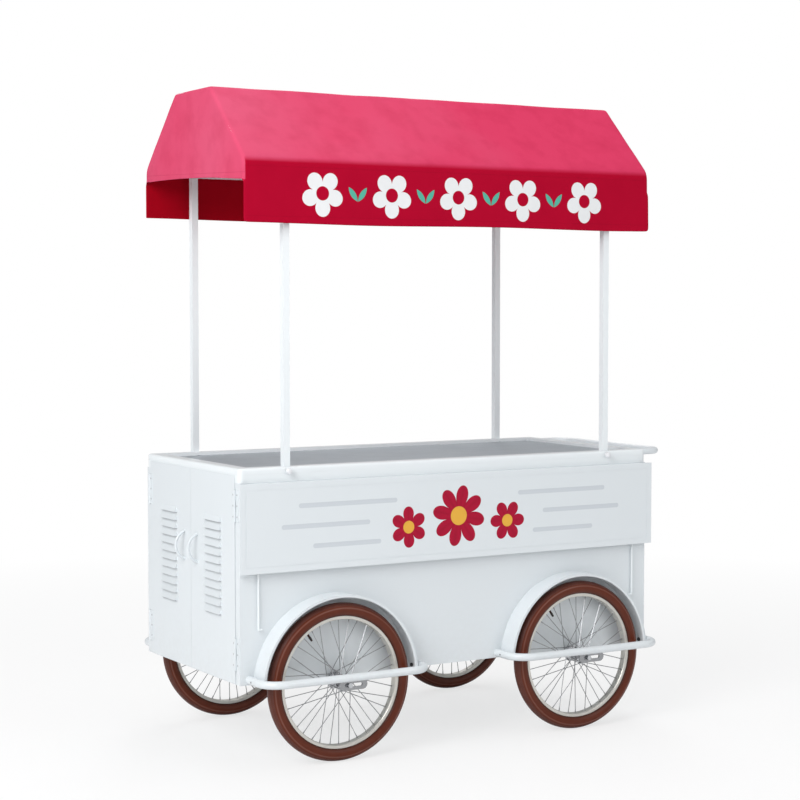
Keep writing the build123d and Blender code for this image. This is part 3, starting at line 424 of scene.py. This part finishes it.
def flower(x, z, middle, radius, petals, turn):
    """Masks of a printed flower in the x and z plane: its petals, its heart and the petals' streaks."""
    across = x - middle[0]
    up = z - middle[1]
    away = distance(across, up)
    angle = up.math("ARCTAN2", across) + turn
    wave = abs((angle * (petals / 2)).math("COSINE"))
    outline = wave.math("POWER", PETAL_FULLNESS) * (PETAL_REACH * radius) + PETAL_FOOT * radius
    streaks = abs((angle * petals).math("SINE")) * 0.5 + 0.5
    blossom = (outline - away).edge(PRINT_EDGE)
    heart = (HEART_SHARE * radius - away).edge(PRINT_EDGE)
    return blossom, heart, streaks


def white_paint(settings, name, dusty_unlit=True):
    """Gloss white paint with slight unevenness and orange peel: dusty near the ground, or, when not dusty, a
    lighter copy of the white that is painted light.
    """
    paint = Finish(name)
    patches = paint.cloud(3.0)
    grain = paint.cloud(60.0, 5.0)
    # Painted light: parts without dust take a lighter copy of the same white.
    white = settings.white if dusty_unlit else settings.lit_white
    shade = paint.mix((patches - 0.35).clamp() * 0.30, white, toned(white, 0.93))
    rough = patches * 0.10 + grain * 0.08 + 0.23
    if dusty_unlit:
        z = paint.axes()[2]
        low = ((DUST_TOP - z) / DUST_SPAN).clamp()
        dust = (low * low * (grain * 1.6 - 0.55)).clamp() * 0.55
        shade = paint.mix(dust, shade, settings.dust)
        rough = rough + dust * 0.35
    peel = paint.cloud(420.0, 2.0)
    paint.surface(Base_Color=shade, Roughness=rough, Coat_Weight=PAINT_COAT, Coat_Roughness=0.08,
                  Normal=paint.bump(peel, 0.0002, 0.35))
    return paint


def louvred_paint(settings):
    """White paint of the doors, with a painted shadow on the sheet just under each louvre's lip."""
    paint = white_paint(settings, "door_paint")
    _, y, z = paint.axes()
    rise = (LOUVRE_COUNT - 1) * LOUVRE_PITCH
    lowest_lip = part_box("front_door")[0].z + LOUVRE_MIDDLE - rise / 2 - LOUVRE_HEIGHT / 2
    over_lip = z - lowest_lip
    # Mask of the painted shadow under each lip, kept to the louvres' rows and columns.
    under = ((over_lip % LOUVRE_PITCH - (LOUVRE_PITCH - SHADOW_BAND)) / SHADOW_BAND).clamp()
    rows = (over_lip + SHADOW_BAND).edge(SHADOW_EDGE) * (rise + SHADOW_EDGE - over_lip).edge(SHADOW_EDGE)
    column = (LOUVRE_WIDTH / 2 - abs(abs(y) - LOUVRE_COLUMN_Y)).edge(0.004)
    return paint.surface(Base_Color=paint.mix(under * rows * column * 0.6, paint.shade(), settings.lip_shadow))


def metal(name, shade, rough, stretch, scale, depth):
    """Drawn or polished metal, with fine lines along the axes that are stretched least."""
    finish = Finish(name)
    lines = finish.cloud(scale, 4.0, finish.stretched(stretch))
    patches = finish.cloud(9.0)
    tint = finish.mix((patches * 0.8 - 0.15).clamp(), shade, toned(shade, 0.84))
    return finish.surface(Base_Color=tint, Metallic=1.0, Roughness=lines * 0.16 + patches * 0.10 + rough,
                          Normal=finish.bump(lines, depth, 0.4))


def plastic(name, scale, first, second, rough, rough_share):
    """Mottled plastic or lacquer between two colours."""
    finish = Finish(name)
    mottle = finish.cloud(scale)
    return finish.surface(Base_Color=finish.mix(mottle, first, second),
                          Roughness=mottle * rough_share + rough)


class CART_OT_paint(bpy.types.Operator):
    """Paint the sheet metal, tubes and fittings of the cart"""
    bl_idname = "cart.paint"
    bl_label = "Paint and fittings"

    def execute(self, context):
        settings = context.scene.cart_paint
        body = white_paint(settings, "white_paint").material
        dress(body, "body_frame", "front_panel", "rear_panel", "right_end_panel", "left_end_frame",
              "floor_panel", "inner_shelf", "push_handle", "door_catches", "guard_bars", "axle_brackets",
              "post_sockets", "front_door_pull", "rear_door_pull",
              "door_hinge_fixed_leaves", "front_door_hinge_leaves", "rear_door_hinge_leaves",
              *[f"{wheel}_fender" for wheel in WHEELS])
        dress(louvred_paint(settings), "front_door", "rear_door")
        # The posts, roof frame, rail, flap hinge and stays take the lighter copy of the white: painted light.
        lit_paint = white_paint(settings, "lit_white_paint", False).material
        dress(lit_paint, "roof_posts", "roof_frame", "top_rail", "flap_hinge_bar", "flap_hinge_leaf", "stay_lugs",
              "stay_eyes", "left_stay", "right_stay")
        knobs = plastic("knob_plastic", 220.0, (0.80, 0.81, 0.83), (0.74, 0.75, 0.78), 0.28, 0.15)
        dress(knobs, *[f"{wheel}_thumbscrew" for wheel in WHEELS])
        black = plastic("black_fittings", 300.0, (0.016, 0.016, 0.017), (0.032, 0.032, 0.034), 0.35, 0.2)
        dress(black, "fender_bolts")
        return {"FINISHED"}


class CART_OT_counter(bpy.types.Operator):
    """Give the counter its brushed steel"""
    bl_idname = "cart.counter"
    bl_label = "Counter"

    def execute(self, context):
        shade = context.scene.cart_paint.steel
        steel = metal("counter_steel", shade, 0.22, (1.2, 60.0, 60.0), 9.0, 0.0003)
        dress(steel, "counter_top")
        return {"FINISHED"}


class CART_OT_flap(bpy.types.Operator):
    """Paint the flap with its printed stripes and flowers"""
    bl_idname = "cart.flap"
    bl_label = "Flap"

    def execute(self, context):
        settings = context.scene.cart_paint
        paint = white_paint(settings, "flap_paint")
        x, y, z = paint.axes()
        middle_z = (FLAP_LOW.z + FLAP_HIGH.z) / 2
        front = (FLAP_LOW.y + FLAP_SKIN) - y > 0.0
        shade = paint.shade()
        off = x - MIDDLE_X
        for height, start, stop in STRIPES:
            past = (abs(abs(off) - (start + stop) / 2) - (stop - start) / 2).math("MAXIMUM", 0.0)
            up = z - (middle_z + height)
            stripe = (STRIPE_HALF - distance(past, up)).edge(STRIPE_EDGE)
            shade = paint.mix(stripe * front * 0.85, shade, settings.print_grey)
        inked = front * 0.0
        for side, up, radius, petals, turn in FLAP_FLOWERS:
            blossom, heart, streaks = flower(x, z, (MIDDLE_X + side, middle_z + up), radius, petals, turn)
            red = paint.mix(streaks, toned(settings.print_red, 0.72), settings.print_red)
            shade = paint.mix(blossom * front, shade, red)
            shade = paint.mix(heart * front, shade, settings.print_yellow)
            inked = inked.math("MAXIMUM", blossom * front)
        paint.surface(Base_Color=shade, Coat_Weight=(1.0 - inked) * PAINT_COAT,
                      Specular_IOR_Level=0.5 - inked * 0.35)
        dress(paint.material, "counter_flap")
        return {"FINISHED"}


def wheel_middle(wheel):
    return Vector(JOINTS[f"{wheel}_roll"]["pos_m"])


def facing(wheel):
    """Side of the cart that a wheel's outer face looks to: 1 for the rear wheels, -1 for the front ones."""
    return 1 if wheel.startswith("rear") else -1


def tyre_rubber(settings, wheel, middle):
    """Brown rubber with painted shade next to the rim, raised lines, the outer one painted paler as a
    highlight, and a patterned tread, centred on one wheel.
    """
    rubber = Finish(f"{wheel}_rubber")
    x, y, z = rubber.axes()
    across = x - middle.x
    up = z - middle.z
    side = y - middle.y
    away = distance(across, up)
    angle = up.math("ARCTAN2", across)
    tread = (away - TREAD_FROM).edge(0.002)
    ribs = abs((side * RIBS_ACROSS).math("SINE"))
    blocks = ((angle * BLOCKS_ROUND + side * BLOCKS_ACROSS).math("SINE")
              * (angle * BLOCKS_ROUND - side * BLOCKS_ACROSS).math("SINE"))
    rings = (away * 900.0).math("SINE") * 0.5 + 0.5
    mottle = rubber.cloud(45.0, 5.0)
    wall = rubber.mix(mottle, toned(settings.tyre, 0.82), toned(settings.tyre, 1.15))
    # Painted shade: the wall darkens towards the rim.
    rim_shade = ((RIM_SHADE_TO - away) / RIM_SHADE_FADE).clamp()
    wall = rubber.mix(rim_shade * rim_shade, wall, settings.tyre_rim_shade)
    bead_line = (BEAD_LINE_HALF - abs(away - BEAD_LINE)).edge(LINE_EDGE)
    wall = rubber.mix(bead_line * 0.35, wall, settings.tread)
    # The raised line is bumped, and its colour is a painted highlight on the ridge.
    wall_line = (WALL_LINE_HALF - abs(away - WALL_LINE)).edge(LINE_EDGE)
    wall = rubber.mix(wall_line * 0.55, wall, settings.line_highlight)
    worn = rubber.mix(mottle, settings.tread, toned(settings.tread, 1.5))
    tread_height = ribs * 0.6 + (blocks > 0.0) * 0.7
    wall_height = rings * 0.10 + (bead_line + wall_line) * 0.5
    height = tread * tread_height + (1.0 - tread) * wall_height
    return rubber.surface(Base_Color=rubber.mix(tread, wall, worn), Specular_IOR_Level=0.25,
                          Roughness=mottle * 0.10 + tread * 0.08 + 0.26,
                          Normal=rubber.bump(height, 0.0012, 0.7))


def rim_metal(settings, wheel, middle):
    """Rim with fine rings round the axle."""
    rim = Finish(f"{wheel}_rim_metal")
    x, _, z = rim.axes()
    away = distance(x - middle.x, z - middle.z)
    rings = (away * 6000.0).math("SINE") * 0.5 + 0.5
    mottle = rim.cloud(30.0, 5.0)
    return rim.surface(Base_Color=rim.mix(mottle, settings.rim, toned(settings.rim, 0.85)), Metallic=0.75,
                       Roughness=mottle * 0.18 + rings * 0.05 + 0.26, Normal=rim.bump(rings, 0.0001, 0.25))


def spoke_ends(wheel, middle):
    """Places and directions of the spokes at one wheel's rim, from the same lacing as the solids."""
    step = math.radians(360 / SPOKES_A_SIDE)
    turn = Vector((facing(wheel), facing(wheel), 1))
    for side in (-1, 1):
        first = 0 if side > 0 else step / 2
        for outside in (True, False):
            elbow_y = ELBOWS_OUTER_Y if outside else ELBOWS_INNER_Y
            lead = SPOKE_LEAD * step if outside else -SPOKE_LEAD * step
            for i in range(0 if outside else 1, SPOKES_A_SIDE, 2):
                hole = first + i * step
                rim = hole + lead
                foot = Vector((SPOKE_HOLES_RADIUS * math.cos(hole), side * elbow_y,
                               SPOKE_HOLES_RADIUS * math.sin(hole)))
                tip = Vector((SPOKE_TIPS_RADIUS * math.cos(rim), side * SPOKE_TIPS_Y,
                              SPOKE_TIPS_RADIUS * math.sin(rim)))
                yield middle + tip * turn, (foot - tip) * turn


class CART_OT_wheels(bpy.types.Operator):
    """Finish the wheels and add their spoke nipples and valve caps"""
    bl_idname = "cart.wheels"
    bl_label = "Wheels"

    def execute(self, context):
        settings = context.scene.cart_wheels
        shade = context.scene.cart_paint.chrome
        chrome = metal("chrome", shade, 0.06, (1, 1, 1), 40.0, 0.00005)
        wire = metal("spoke_wire", toned(shade, 0.60), 0.22, (1, 1, 1), 160.0, 0.0001)
        plates = metal("plate_metal", toned(shade, 0.62), 0.14, (1, 1, 1), 60.0, 0.0001)
        caps = plastic("valve_cap_plastic", 400.0, (0.012, 0.012, 0.012), (0.03, 0.03, 0.03), 0.4, 0.2)
        dress(chrome, "axles", "hub_cones", "axle_nuts")
        dress(plates, "axle_plates")
        for wheel in WHEELS:
            middle = wheel_middle(wheel)
            dress(tyre_rubber(settings, wheel, middle), f"{wheel}_tyre")
            dress(rim_metal(settings, wheel, middle), f"{wheel}_rim")
            dress(chrome, f"{wheel}_hub")
            dress(wire, f"{wheel}_spokes")
            self.nipples(settings, wheel, middle, wire)
            self.valve_cap(settings, wheel, middle, caps)
        return {"FINISHED"}

    def nipples(self, settings, wheel, middle, material):
        bm = bmesh.new()
        for tip, inward in spoke_ends(wheel, middle):
            centre = tip + inward.normalized() * (settings.nipple_length / 2)
            bmesh.ops.create_cone(bm, cap_ends=True, segments=6, radius1=settings.nipple_radius,
                                  radius2=settings.nipple_radius * 0.72, depth=settings.nipple_length,
                                  matrix=set_along(centre, inward))
        piece(f"{wheel}_nipples", bm, f"{wheel}_wheel", material, False)

    def valve_cap(self, settings, wheel, middle, material):
        """A tapered cap with flutes and rounded ends."""
        way = Vector((facing(wheel) * math.sin(VALVE_LEAN), 0, math.cos(VALVE_LEAN)))
        bm = bmesh.new()
        bmesh.ops.create_cone(bm, cap_ends=True, segments=12, radius1=settings.cap_radius * 0.82,
                              radius2=settings.cap_radius, depth=settings.cap_length)
        sides = [face for face in bm.faces if len(face.verts) == 4]
        bmesh.ops.inset_individual(bm, faces=sides, thickness=settings.cap_radius * 0.12,
                                   depth=-settings.cap_radius * 0.12)
        ends = [edge for edge in bm.edges if abs(edge.verts[0].co.z - edge.verts[1].co.z) < 1e-6
                and edge.calc_face_angle(0) > 1]
        bmesh.ops.bevel(bm, geom=ends, offset=settings.cap_radius * 0.15, segments=2, profile=0.5,
                        affect="EDGES", material=-1)
        place = middle + way * (VALVE_TOP + settings.cap_length / 2 - CAP_OVERLAP)
        bmesh.ops.transform(bm, matrix=set_along(place, way), verts=bm.verts)
        piece(f"{wheel}_valve_cap", bm, f"{wheel}_wheel", material, False)


class CART_OT_roof_cloth(bpy.types.Operator):
    """Sew the roof's cloth: slopes, valances and end panels in one sheet"""
    bl_idname = "cart.roof_cloth"
    bl_label = "Roof cloth"

    def execute(self, context):
        settings = context.scene.cart_roof
        bm = self.folded_sheet(settings)
        self.fine_grid(bm, settings)
        self.hang(bm, settings)
        self.map_weave(bm)
        cloth = piece("roof_cloth", bm, "roof", self.coated_cloth(settings))
        wall = cloth.modifiers.new("Thickness", "SOLIDIFY")
        wall.thickness = settings.thickness
        wall.offset = -1
        wall.material_offset = 1
        cloth.data.materials.append(self.inner_face(settings))
        smooth = cloth.modifiers.new("Smooth", "SUBSURF")
        smooth.levels = smooth.render_levels = 1
        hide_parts("roof_cover")
        return {"FINISHED"}

    def folded_sheet(self, settings):
        """The roof's section pulled along its length, with the end panels filled in and the folds rounded."""
        half = ROOF_HIGH.y
        ridge = settings.ridge_half
        section = ((-half, ROOF_LOW.z), (-half, settings.eave), (-ridge, ROOF_HIGH.z),
                   (ridge, ROOF_HIGH.z), (half, settings.eave), (half, settings.rear_low))
        bm = bmesh.new()
        row = [bm.verts.new((ROOF_LOW.x, y, z)) for y, z in section]
        edges = [bm.edges.new(pair) for pair in zip(row, row[1:])]
        pulled = bmesh.ops.extrude_edge_only(bm, edges=edges)["geom"]
        ends = [part for part in pulled if isinstance(part, bmesh.types.BMVert)]
        bmesh.ops.translate(bm, verts=ends, vec=(ROOF_HIGH.x - ROOF_LOW.x, 0, 0))
        for side, height in ((-1, settings.gable_front), (1, settings.gable_rear)):
            valance = [face for face in bm.faces
                       if all(v.co.y * side > half - SAME_PLACE for v in face.verts)]
            self.cut(bm, valance, "z", height)
        below = settings.gable_front - 0.05
        for x in (ROOF_LOW.x, ROOF_HIGH.x):
            ring = [v for v in bm.verts if abs(v.co.x - x) < SAME_PLACE
                    and v.co.z > self.gable_low(settings, v.co.y) - SAME_PLACE]
            ring.sort(key=lambda v: math.atan2(v.co.z - below, v.co.y))
            bm.faces.new(ring)
        bmesh.ops.recalc_face_normals(bm, faces=bm.faces)
        self.round_folds(bm, settings)
        return self.in_order(bm)

    def in_order(self, bm):
        """The same mesh with points and faces in a fixed order, because a bevel's order changes by run."""
        rings = []
        for face in bm.faces:
            ring = [tuple(vert.co) for vert in face.verts]
            start = ring.index(min(ring))
            rings.append(ring[start:] + ring[:start])
        rings.sort()
        bm.free()
        settled = bmesh.new()
        places = sorted({place for ring in rings for place in ring})
        points = {place: settled.verts.new(place) for place in places}
        for ring in rings:
            settled.faces.new([points[place] for place in ring])
        settled.normal_update()
        return settled

    def gable_low(self, settings, y):
        """Height of the end panels' lower edge, which slants from front to rear."""
        slant = (settings.gable_rear - settings.gable_front) / (2 * ROOF_HIGH.y)
        return (y + ROOF_HIGH.y) * slant + settings.gable_front

    def round_folds(self, bm, settings):
        """Rounds the folds at the ridge, then those at the eaves, then the corners at the ends."""
        def folds(test):
            return [e for e in bm.edges if len(e.link_faces) == 2 and e.calc_face_angle(0) > 0.2 and test(e)]

        def along_x(edge):
            return abs(edge.verts[0].co.x - edge.verts[1].co.x) > 0.5

        def at_an_end(edge):
            return abs(edge.link_faces[0].normal.x - edge.link_faces[1].normal.x) > 0.8

        under_ridge = ROOF_HIGH.z - 0.02
        rounds = ((settings.ridge_round, lambda e: along_x(e) and e.verts[0].co.z > under_ridge),
                  (settings.eave_round, lambda e: along_x(e) and e.verts[0].co.z < under_ridge),
                  (settings.corner_round, at_an_end))
        for radius, test in rounds:
            bmesh.ops.bevel(bm, geom=folds(test), offset=radius, segments=3, profile=0.5, affect="EDGES",
                            material=-1)

    def cut(self, bm, faces, axis, place):
        """Cuts faces through at one height, length or depth."""
        way = Vector([float(letter == axis) for letter in "xyz"])
        parts = dict.fromkeys(part for face in faces for part in (face, *face.edges, *face.verts))
        bmesh.ops.bisect_plane(bm, geom=list(parts), plane_co=way * place, plane_no=way, dist=1e-6)

    def fine_grid(self, bm, settings):
        """Cuts the panels into a grid, each along the directions that it spans."""
        def steps(low, high):
            count = max(1, round((high - low) / settings.grid))
            return [low + (high - low) * i / count for i in range(1, count)]

        for x in steps(ROOF_LOW.x, ROOF_HIGH.x):
            self.cut(bm, [f for f in bm.faces if abs(f.normal.x) < 0.5], "x", x)
        for y in steps(-ROOF_HIGH.y, ROOF_HIGH.y):
            self.cut(bm, [f for f in bm.faces if abs(f.normal.y) < 0.9], "y", y)
        for z in steps(ROOF_LOW.z, ROOF_HIGH.z):
            self.cut(bm, [f for f in bm.faces if abs(f.normal.z) < 0.2], "z", z)
        bmesh.ops.remove_doubles(bm, verts=bm.verts, dist=MERGE)

    def hang(self, bm, settings):
        """Sinks the slopes between the rafters, waves the free edges and creases the cloth a little."""
        bm.normal_update()
        moves = [(vert, self.move(vert, settings)) for vert in bm.verts]
        for vert, move in moves:
            vert.co += move

    def move(self, vert, settings):
        """How far one point of the flat panels moves when the cloth hangs."""
        span = (ROOF_HIGH.x - ROOF_LOW.x) / 2
        half = ROOF_HIGH.y
        x, y, z = vert.co
        move = Vector()
        rise = (z - settings.eave) / (ROOF_HIGH.z - settings.eave)
        if abs(vert.normal.x) < 0.5 and rise > 0:
            between = math.sin(math.pi * ((x - ROOF_LOW.x) / span % 1.0)) ** 2
            move -= vert.normal * settings.sag * between * math.sin(math.pi * min(1.0, rise)) ** 0.7
        if z < settings.eave - VALANCE_TOP and abs(y) > half - VALANCE_BAND:
            hang = (settings.eave - z) / (settings.eave - (ROOF_LOW.z if y < 0 else settings.rear_low))
            swing = math.sin(x * LONG_WAVE + y) + SHORT_SHARE * math.sin(x * SHORT_WAVE + 2.0 * y)
            move.y += math.copysign(1, y) * settings.wave * hang * (0.4 + 0.6 * swing)
            move.z += EDGE_LIFT * hang * math.sin(x * LIFT_WAVE + 1.0)
        if abs(vert.normal.x) > 0.5:
            low = max(0.0, 1 - (z - self.gable_low(settings, y)) / LOOSE_HEIGHT)
            middle = 1 - (y / half) ** 2
            move.z += settings.gable_rise * low * middle
            move.x += math.copysign(1, vert.normal.x) * BELLY * middle * low
        crease = noise.noise(Vector((x * 5.0, y * 7.0, z * 9.0)))
        fine = noise.noise(Vector((x * 16.0, y * 22.0, z * 22.0)))
        move += vert.normal * (CREASE * crease + FINE_CREASE * fine)
        return move

    def map_weave(self, bm):
        """Flat coordinates in metres, so that the weave follows each panel."""
        weave = bm.loops.layers.uv.new("weave")
        for face in bm.faces:
            for loop in face.loops:
                x, y, z = loop.vert.co
                if abs(face.normal.x) > 0.6:
                    loop[weave].uv = (y, z)
                elif abs(face.normal.z) > 0.9:
                    loop[weave].uv = (x, y)
                else:
                    loop[weave].uv = (x, z * 1.4 if abs(face.normal.z) > 0.3 else z)

    def coated_cloth(self, settings):
        """Crimson cloth: painted lighter on the slopes and end panels as light, paler still towards the left
        end in random patches, printed on the front valance, and stitched along its hems.
        """
        cloth = Finish("coated_cloth")
        x, y, z = cloth.axes()
        u, v, _ = cloth.axes(cloth.node("ShaderNodeUVMap", {"uv_map": "weave"}))
        threads = (u * THREADS).math("SINE") * (v * THREADS).math("SINE")
        patches = cloth.cloud(2.6, 4.0)
        fade = cloth.cloud(14.0, 5.0)
        off = x - MIDDLE_X
        high = (z - (settings.eave - LIT_BELOW_EAVE)).edge(LIT_EDGE)
        ends = (abs(off) - ((ROOF_HIGH.x - ROOF_LOW.x) / 2 - END_SKIN)).edge(END_EDGE)
        ends = ends * (z - self.gable_low(settings, y)).edge(END_EDGE)
        # Painted light: the slopes and end panels take a lighter cloth, and paler still towards the left end
        # in random patches.
        lit_area = high.math("MAXIMUM", ends)
        tone = cloth.mix(lit_area, settings.cloth, settings.lit_cloth)
        painted_light = ((patches - 0.5) * 0.8 - off * 0.58 + 0.09).clamp() * lit_area
        tone = cloth.mix(painted_light, tone, settings.palest_lit_cloth)
        tone = cloth.mix((fade - 0.45).clamp() * 0.6, tone, toned(settings.cloth, 0.8))
        tone = self.printed(cloth, tone, settings, off, y, z)
        stitch = self.stitches(u, y, z, ends, settings)
        tone = cloth.mix(stitch * 0.4, tone, toned(settings.cloth, 0.55))
        height = threads * 0.12 - stitch * 0.9 + fade * 0.3
        return cloth.surface(Base_Color=tone, Roughness=fade * 0.16 + threads * 0.04 + 0.55,
                             Specular_IOR_Level=0.05, Normal=cloth.bump(height, 0.0005, 0.5))

    def printed(self, cloth, tone, settings, off, y, z):
        """The cloth's colour with flowers along the front valance and a pair of leaves between each two."""
        front = (ROOF_LOW.y + FRONT_SKIN) - y > 0.0
        middle_z = (ROOF_LOW.z + settings.eave) / 2 - PRINT_DROP
        half = PRINT_PITCH / 2
        tile = (off + half) % PRINT_PITCH - half
        within = (FLOWERS_WITHIN - abs(off)).edge(PRINT_CUT) * front
        blossom, heart, _ = flower(tile, z, (0.0, middle_z), PRINT_RADIUS, PRINT_PETALS, math.pi / 2)
        between = off % PRINT_PITCH - half
        leaves = (self.leaf(between - LEAF_APART, z, middle_z, LEAF_LEAN)
                  + self.leaf(between + LEAF_APART, z, middle_z, -LEAF_LEAN)).clamp()
        inner = (LEAVES_WITHIN - abs(off)).edge(PRINT_CUT) * front
        tone = cloth.mix(leaves * inner, tone, settings.print_green)
        tone = cloth.mix(blossom * within, tone, settings.print_white)
        return cloth.mix(heart * within, tone, settings.cloth)

    def inner_face(self, settings):
        inside = Finish("cloth_inside")
        fade = inside.cloud(14.0, 5.0)
        return inside.surface(Base_Color=inside.mix(fade, settings.inside, toned(settings.inside, 0.8)),
                              Roughness=fade * 0.16 + 0.6, Specular_IOR_Level=0.05,
                              Normal=inside.bump(fade, 0.0004, 0.4))

    def leaf(self, across, z, middle_z, lean):
        """Mask of one pointed leaf, tilted about its middle."""
        up = z - middle_z
        along = across * math.cos(lean) + up * math.sin(lean)
        beside = up * math.cos(lean) - across * math.sin(lean)
        return (LEAF_HALF - abs(beside) - along * along * LEAF_POINT).edge(PRINT_CUT)

    def stitches(self, u, y, z, ends, settings):
        """Mask of the sewn lines along the hems."""
        def row(height):
            return (STITCH_HALF - abs(z - height)).edge(0.0006)

        dash = (u * 900.0).math("SINE") > -0.5
        low = (y > 0.0) * (settings.rear_low - ROOF_LOW.z) + ROOF_LOW.z
        sides = row(low + settings.hem) + row(settings.eave - EAVE_STITCH)
        gable = row(self.gable_low(settings, y) + settings.hem)
        return (sides * (1.0 - ends) + gable * ends).clamp() * dash


class CART_OT_screws(bpy.types.Operator):
    """Set the screws of the door hinges"""
    bl_idname = "cart.screws"
    bl_label = "Screws"

    def execute(self, context):
        steel = metal("screw_steel", (0.55, 0.56, 0.58), 0.2, (1, 1, 1), 300.0, 0.00005)
        for end in ENDS:
            axis = Vector(JOINTS[f"{end}_door_swing"]["pos_m"])
            out = -1 if end == "front" else 1
            leaf_low, leaf_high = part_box(f"{end}_door_hinge_leaves")
            leaves = (("frame", "cart", out, FRAME_LEAF_FACE),
                      ("door", f"{end}_door_leaf", -out, DOOR_LEAF_FACE))
            for name, body, side, face in leaves:
                bm = bmesh.new()
                for base in (leaf_low.z + SCREWS_FROM_LOW, leaf_high.z - SCREWS_FROM_HIGH):
                    for step in SCREW_ROW:
                        self.screw(bm, Vector((axis.x + face, axis.y + side * SCREWS_OFF_AXIS, base + step)))
                piece(f"{end}_{name}_hinge_screws", bm, body, steel, False)
        return {"FINISHED"}

    def screw(self, bm, place):
        """A low head with a round recess, standing out along -X."""
        older = set(bm.verts)
        bmesh.ops.create_cone(bm, cap_ends=True, segments=12, radius1=SCREW_FOOT, radius2=SCREW_TOP,
                              depth=SCREW_HEIGHT)
        fresh = dict.fromkeys(face for vert in bm.verts if vert not in older for face in vert.link_faces)
        cap = [face for face in fresh if len(face.verts) > 4 and face.calc_center_median().z > 0]
        bmesh.ops.inset_region(bm, faces=cap, thickness=RECESS_INSET)
        bmesh.ops.translate(bm, verts=cap[0].verts, vec=(0, 0, -RECESS_DEPTH))
        foot = Matrix.Translation(place + Vector((-SCREW_HEIGHT / 2, 0, 0)))
        bmesh.ops.transform(bm, matrix=foot @ Matrix.Rotation(-math.pi / 2, 4, "Y"),
                            verts=[vert for vert in bm.verts if vert not in older])


class CART_OT_stage(bpy.types.Operator):
    """Set the floor, the lights and the camera"""
    bl_idname = "cart.stage"
    bl_label = "Stage"

    def execute(self, context):
        settings = context.scene.cart_stage
        self.floor(settings)
        self.sky(context)
        self.lights()
        self.camera(context, settings)
        context.scene.view_settings.view_transform = "Standard"
        return {"FINISHED"}

    def floor(self, settings):
        """A wide floor that glows towards white with distance, where the camera sees it."""
        finish = Finish("floor")
        x, y, _ = finish.axes()
        grain = finish.cloud(6.0)
        finish.surface(Base_Color=finish.mix(grain, settings.floor, toned(settings.floor, 0.985)),
                       Roughness=grain * 0.1 + 0.75)
        glow = finish.node("ShaderNodeEmission", inputs={"Color": (1, 1, 1, 1), "Strength": 1.0})
        seen = finish.node("ShaderNodeLightPath", output="Is Camera Ray")
        far = ((distance(x, y) - GLOW_FROM) / GLOW_SPAN).clamp()
        both = finish.node("ShaderNodeMixShader", inputs={
            0: (far * GLOW_RISE + GLOW_LEAST) * seen, 1: Reading(finish, finish.shader.outputs[0]), 2: glow})
        output = next(node for node in finish.tree.nodes if node.type == "OUTPUT_MATERIAL")
        finish.feed(output.inputs["Surface"], both)
        bm = bmesh.new()
        bmesh.ops.create_circle(bm, cap_ends=True, segments=96, radius=FLOOR_RADIUS)
        mesh = bpy.data.meshes.new("floor")
        bm.to_mesh(mesh)
        bm.free()
        mesh.materials.append(finish.material)
        floor = add("floor", mesh)

    def sky(self, context):
        """A soft sky that lights the cart, with plain white behind it for the camera."""
        world = bpy.data.worlds.new("studio")
        world.use_nodes = True
        tree = world.node_tree
        paths = tree.nodes.new("ShaderNodeLightPath")
        sky = tree.nodes["Background"]
        white = tree.nodes.new("ShaderNodeBackground")
        for background, tint, strength in ((sky, (0.97, 0.985, 1.0, 1.0), SKY_STRENGTH),
                                           (white, (1, 1, 1, 1), 1.0)):
            background.inputs["Color"].default_value = tint
            background.inputs["Strength"].default_value = strength
        mix = tree.nodes.new("ShaderNodeMixShader")
        tree.links.new(paths.outputs["Is Camera Ray"], mix.inputs[0])
        tree.links.new(sky.outputs[0], mix.inputs[1])
        tree.links.new(white.outputs[0], mix.inputs[2])
        tree.links.new(mix.outputs[0], tree.nodes["World Output"].inputs["Surface"])
        context.scene.world = world

    def lights(self):
        for name, place, size, power in LIGHTS:
            lamp = bpy.data.lights.new(name, "AREA")
            lamp.size = size
            lamp.energy = power
            made = add(name, lamp)
            made.location = place
            made.rotation_euler = (LIT_POINT - Vector(place)).to_track_quat("-Z", "Y").to_euler()

    def camera(self, context, settings):
        lens = bpy.data.cameras.new("camera")
        lens.lens = settings.lens
        lens.sensor_width = SENSOR_MM
        lens.sensor_fit = "HORIZONTAL"
        made = add("camera", lens)
        level = math.cos(settings.pitch)
        way = Vector((math.sin(settings.yaw) * level, math.cos(settings.yaw) * level,
                      -math.sin(settings.pitch)))
        made.location = settings.camera_place
        made.rotation_euler = way.to_track_quat("-Z", "Y").to_euler()
        context.scene.camera = made


class CART_PT_panel(bpy.types.Panel):
    bl_idname = "CART_PT_panel"
    bl_label = "Vending cart"
    bl_space_type = "VIEW_3D"
    bl_region_type = "UI"
    bl_category = "Cart"

    def draw(self, context):
        for operator in OPERATORS:
            self.layout.operator(operator.bl_idname)


SETTINGS = {"cart_paint": CartPaint, "cart_wheels": CartWheels, "cart_roof": CartRoof,
            "cart_stage": CartStage}
OPERATORS = (CART_OT_stage, CART_OT_paint, CART_OT_counter, CART_OT_flap, CART_OT_wheels, CART_OT_roof_cloth,
             CART_OT_screws)


def register():
    for group in (*SETTINGS.values(), *OPERATORS, CART_PT_panel):
        bpy.utils.register_class(group)
    for name, group in SETTINGS.items():
        setattr(bpy.types.Scene, name, bpy.props.PointerProperty(type=group))


def unregister():
    for name in SETTINGS:
        delattr(bpy.types.Scene, name)
    for group in reversed((*SETTINGS.values(), *OPERATORS, CART_PT_panel)):
        bpy.utils.unregister_class(group)


def main():
    register()
    bpy.ops.cart.stage()
    bpy.ops.cart.paint()
    bpy.ops.cart.counter()
    bpy.ops.cart.flap()
    bpy.ops.cart.wheels()
    bpy.ops.cart.roof_cloth()
    bpy.ops.cart.screws()


if __name__ == "__main__":
    main()
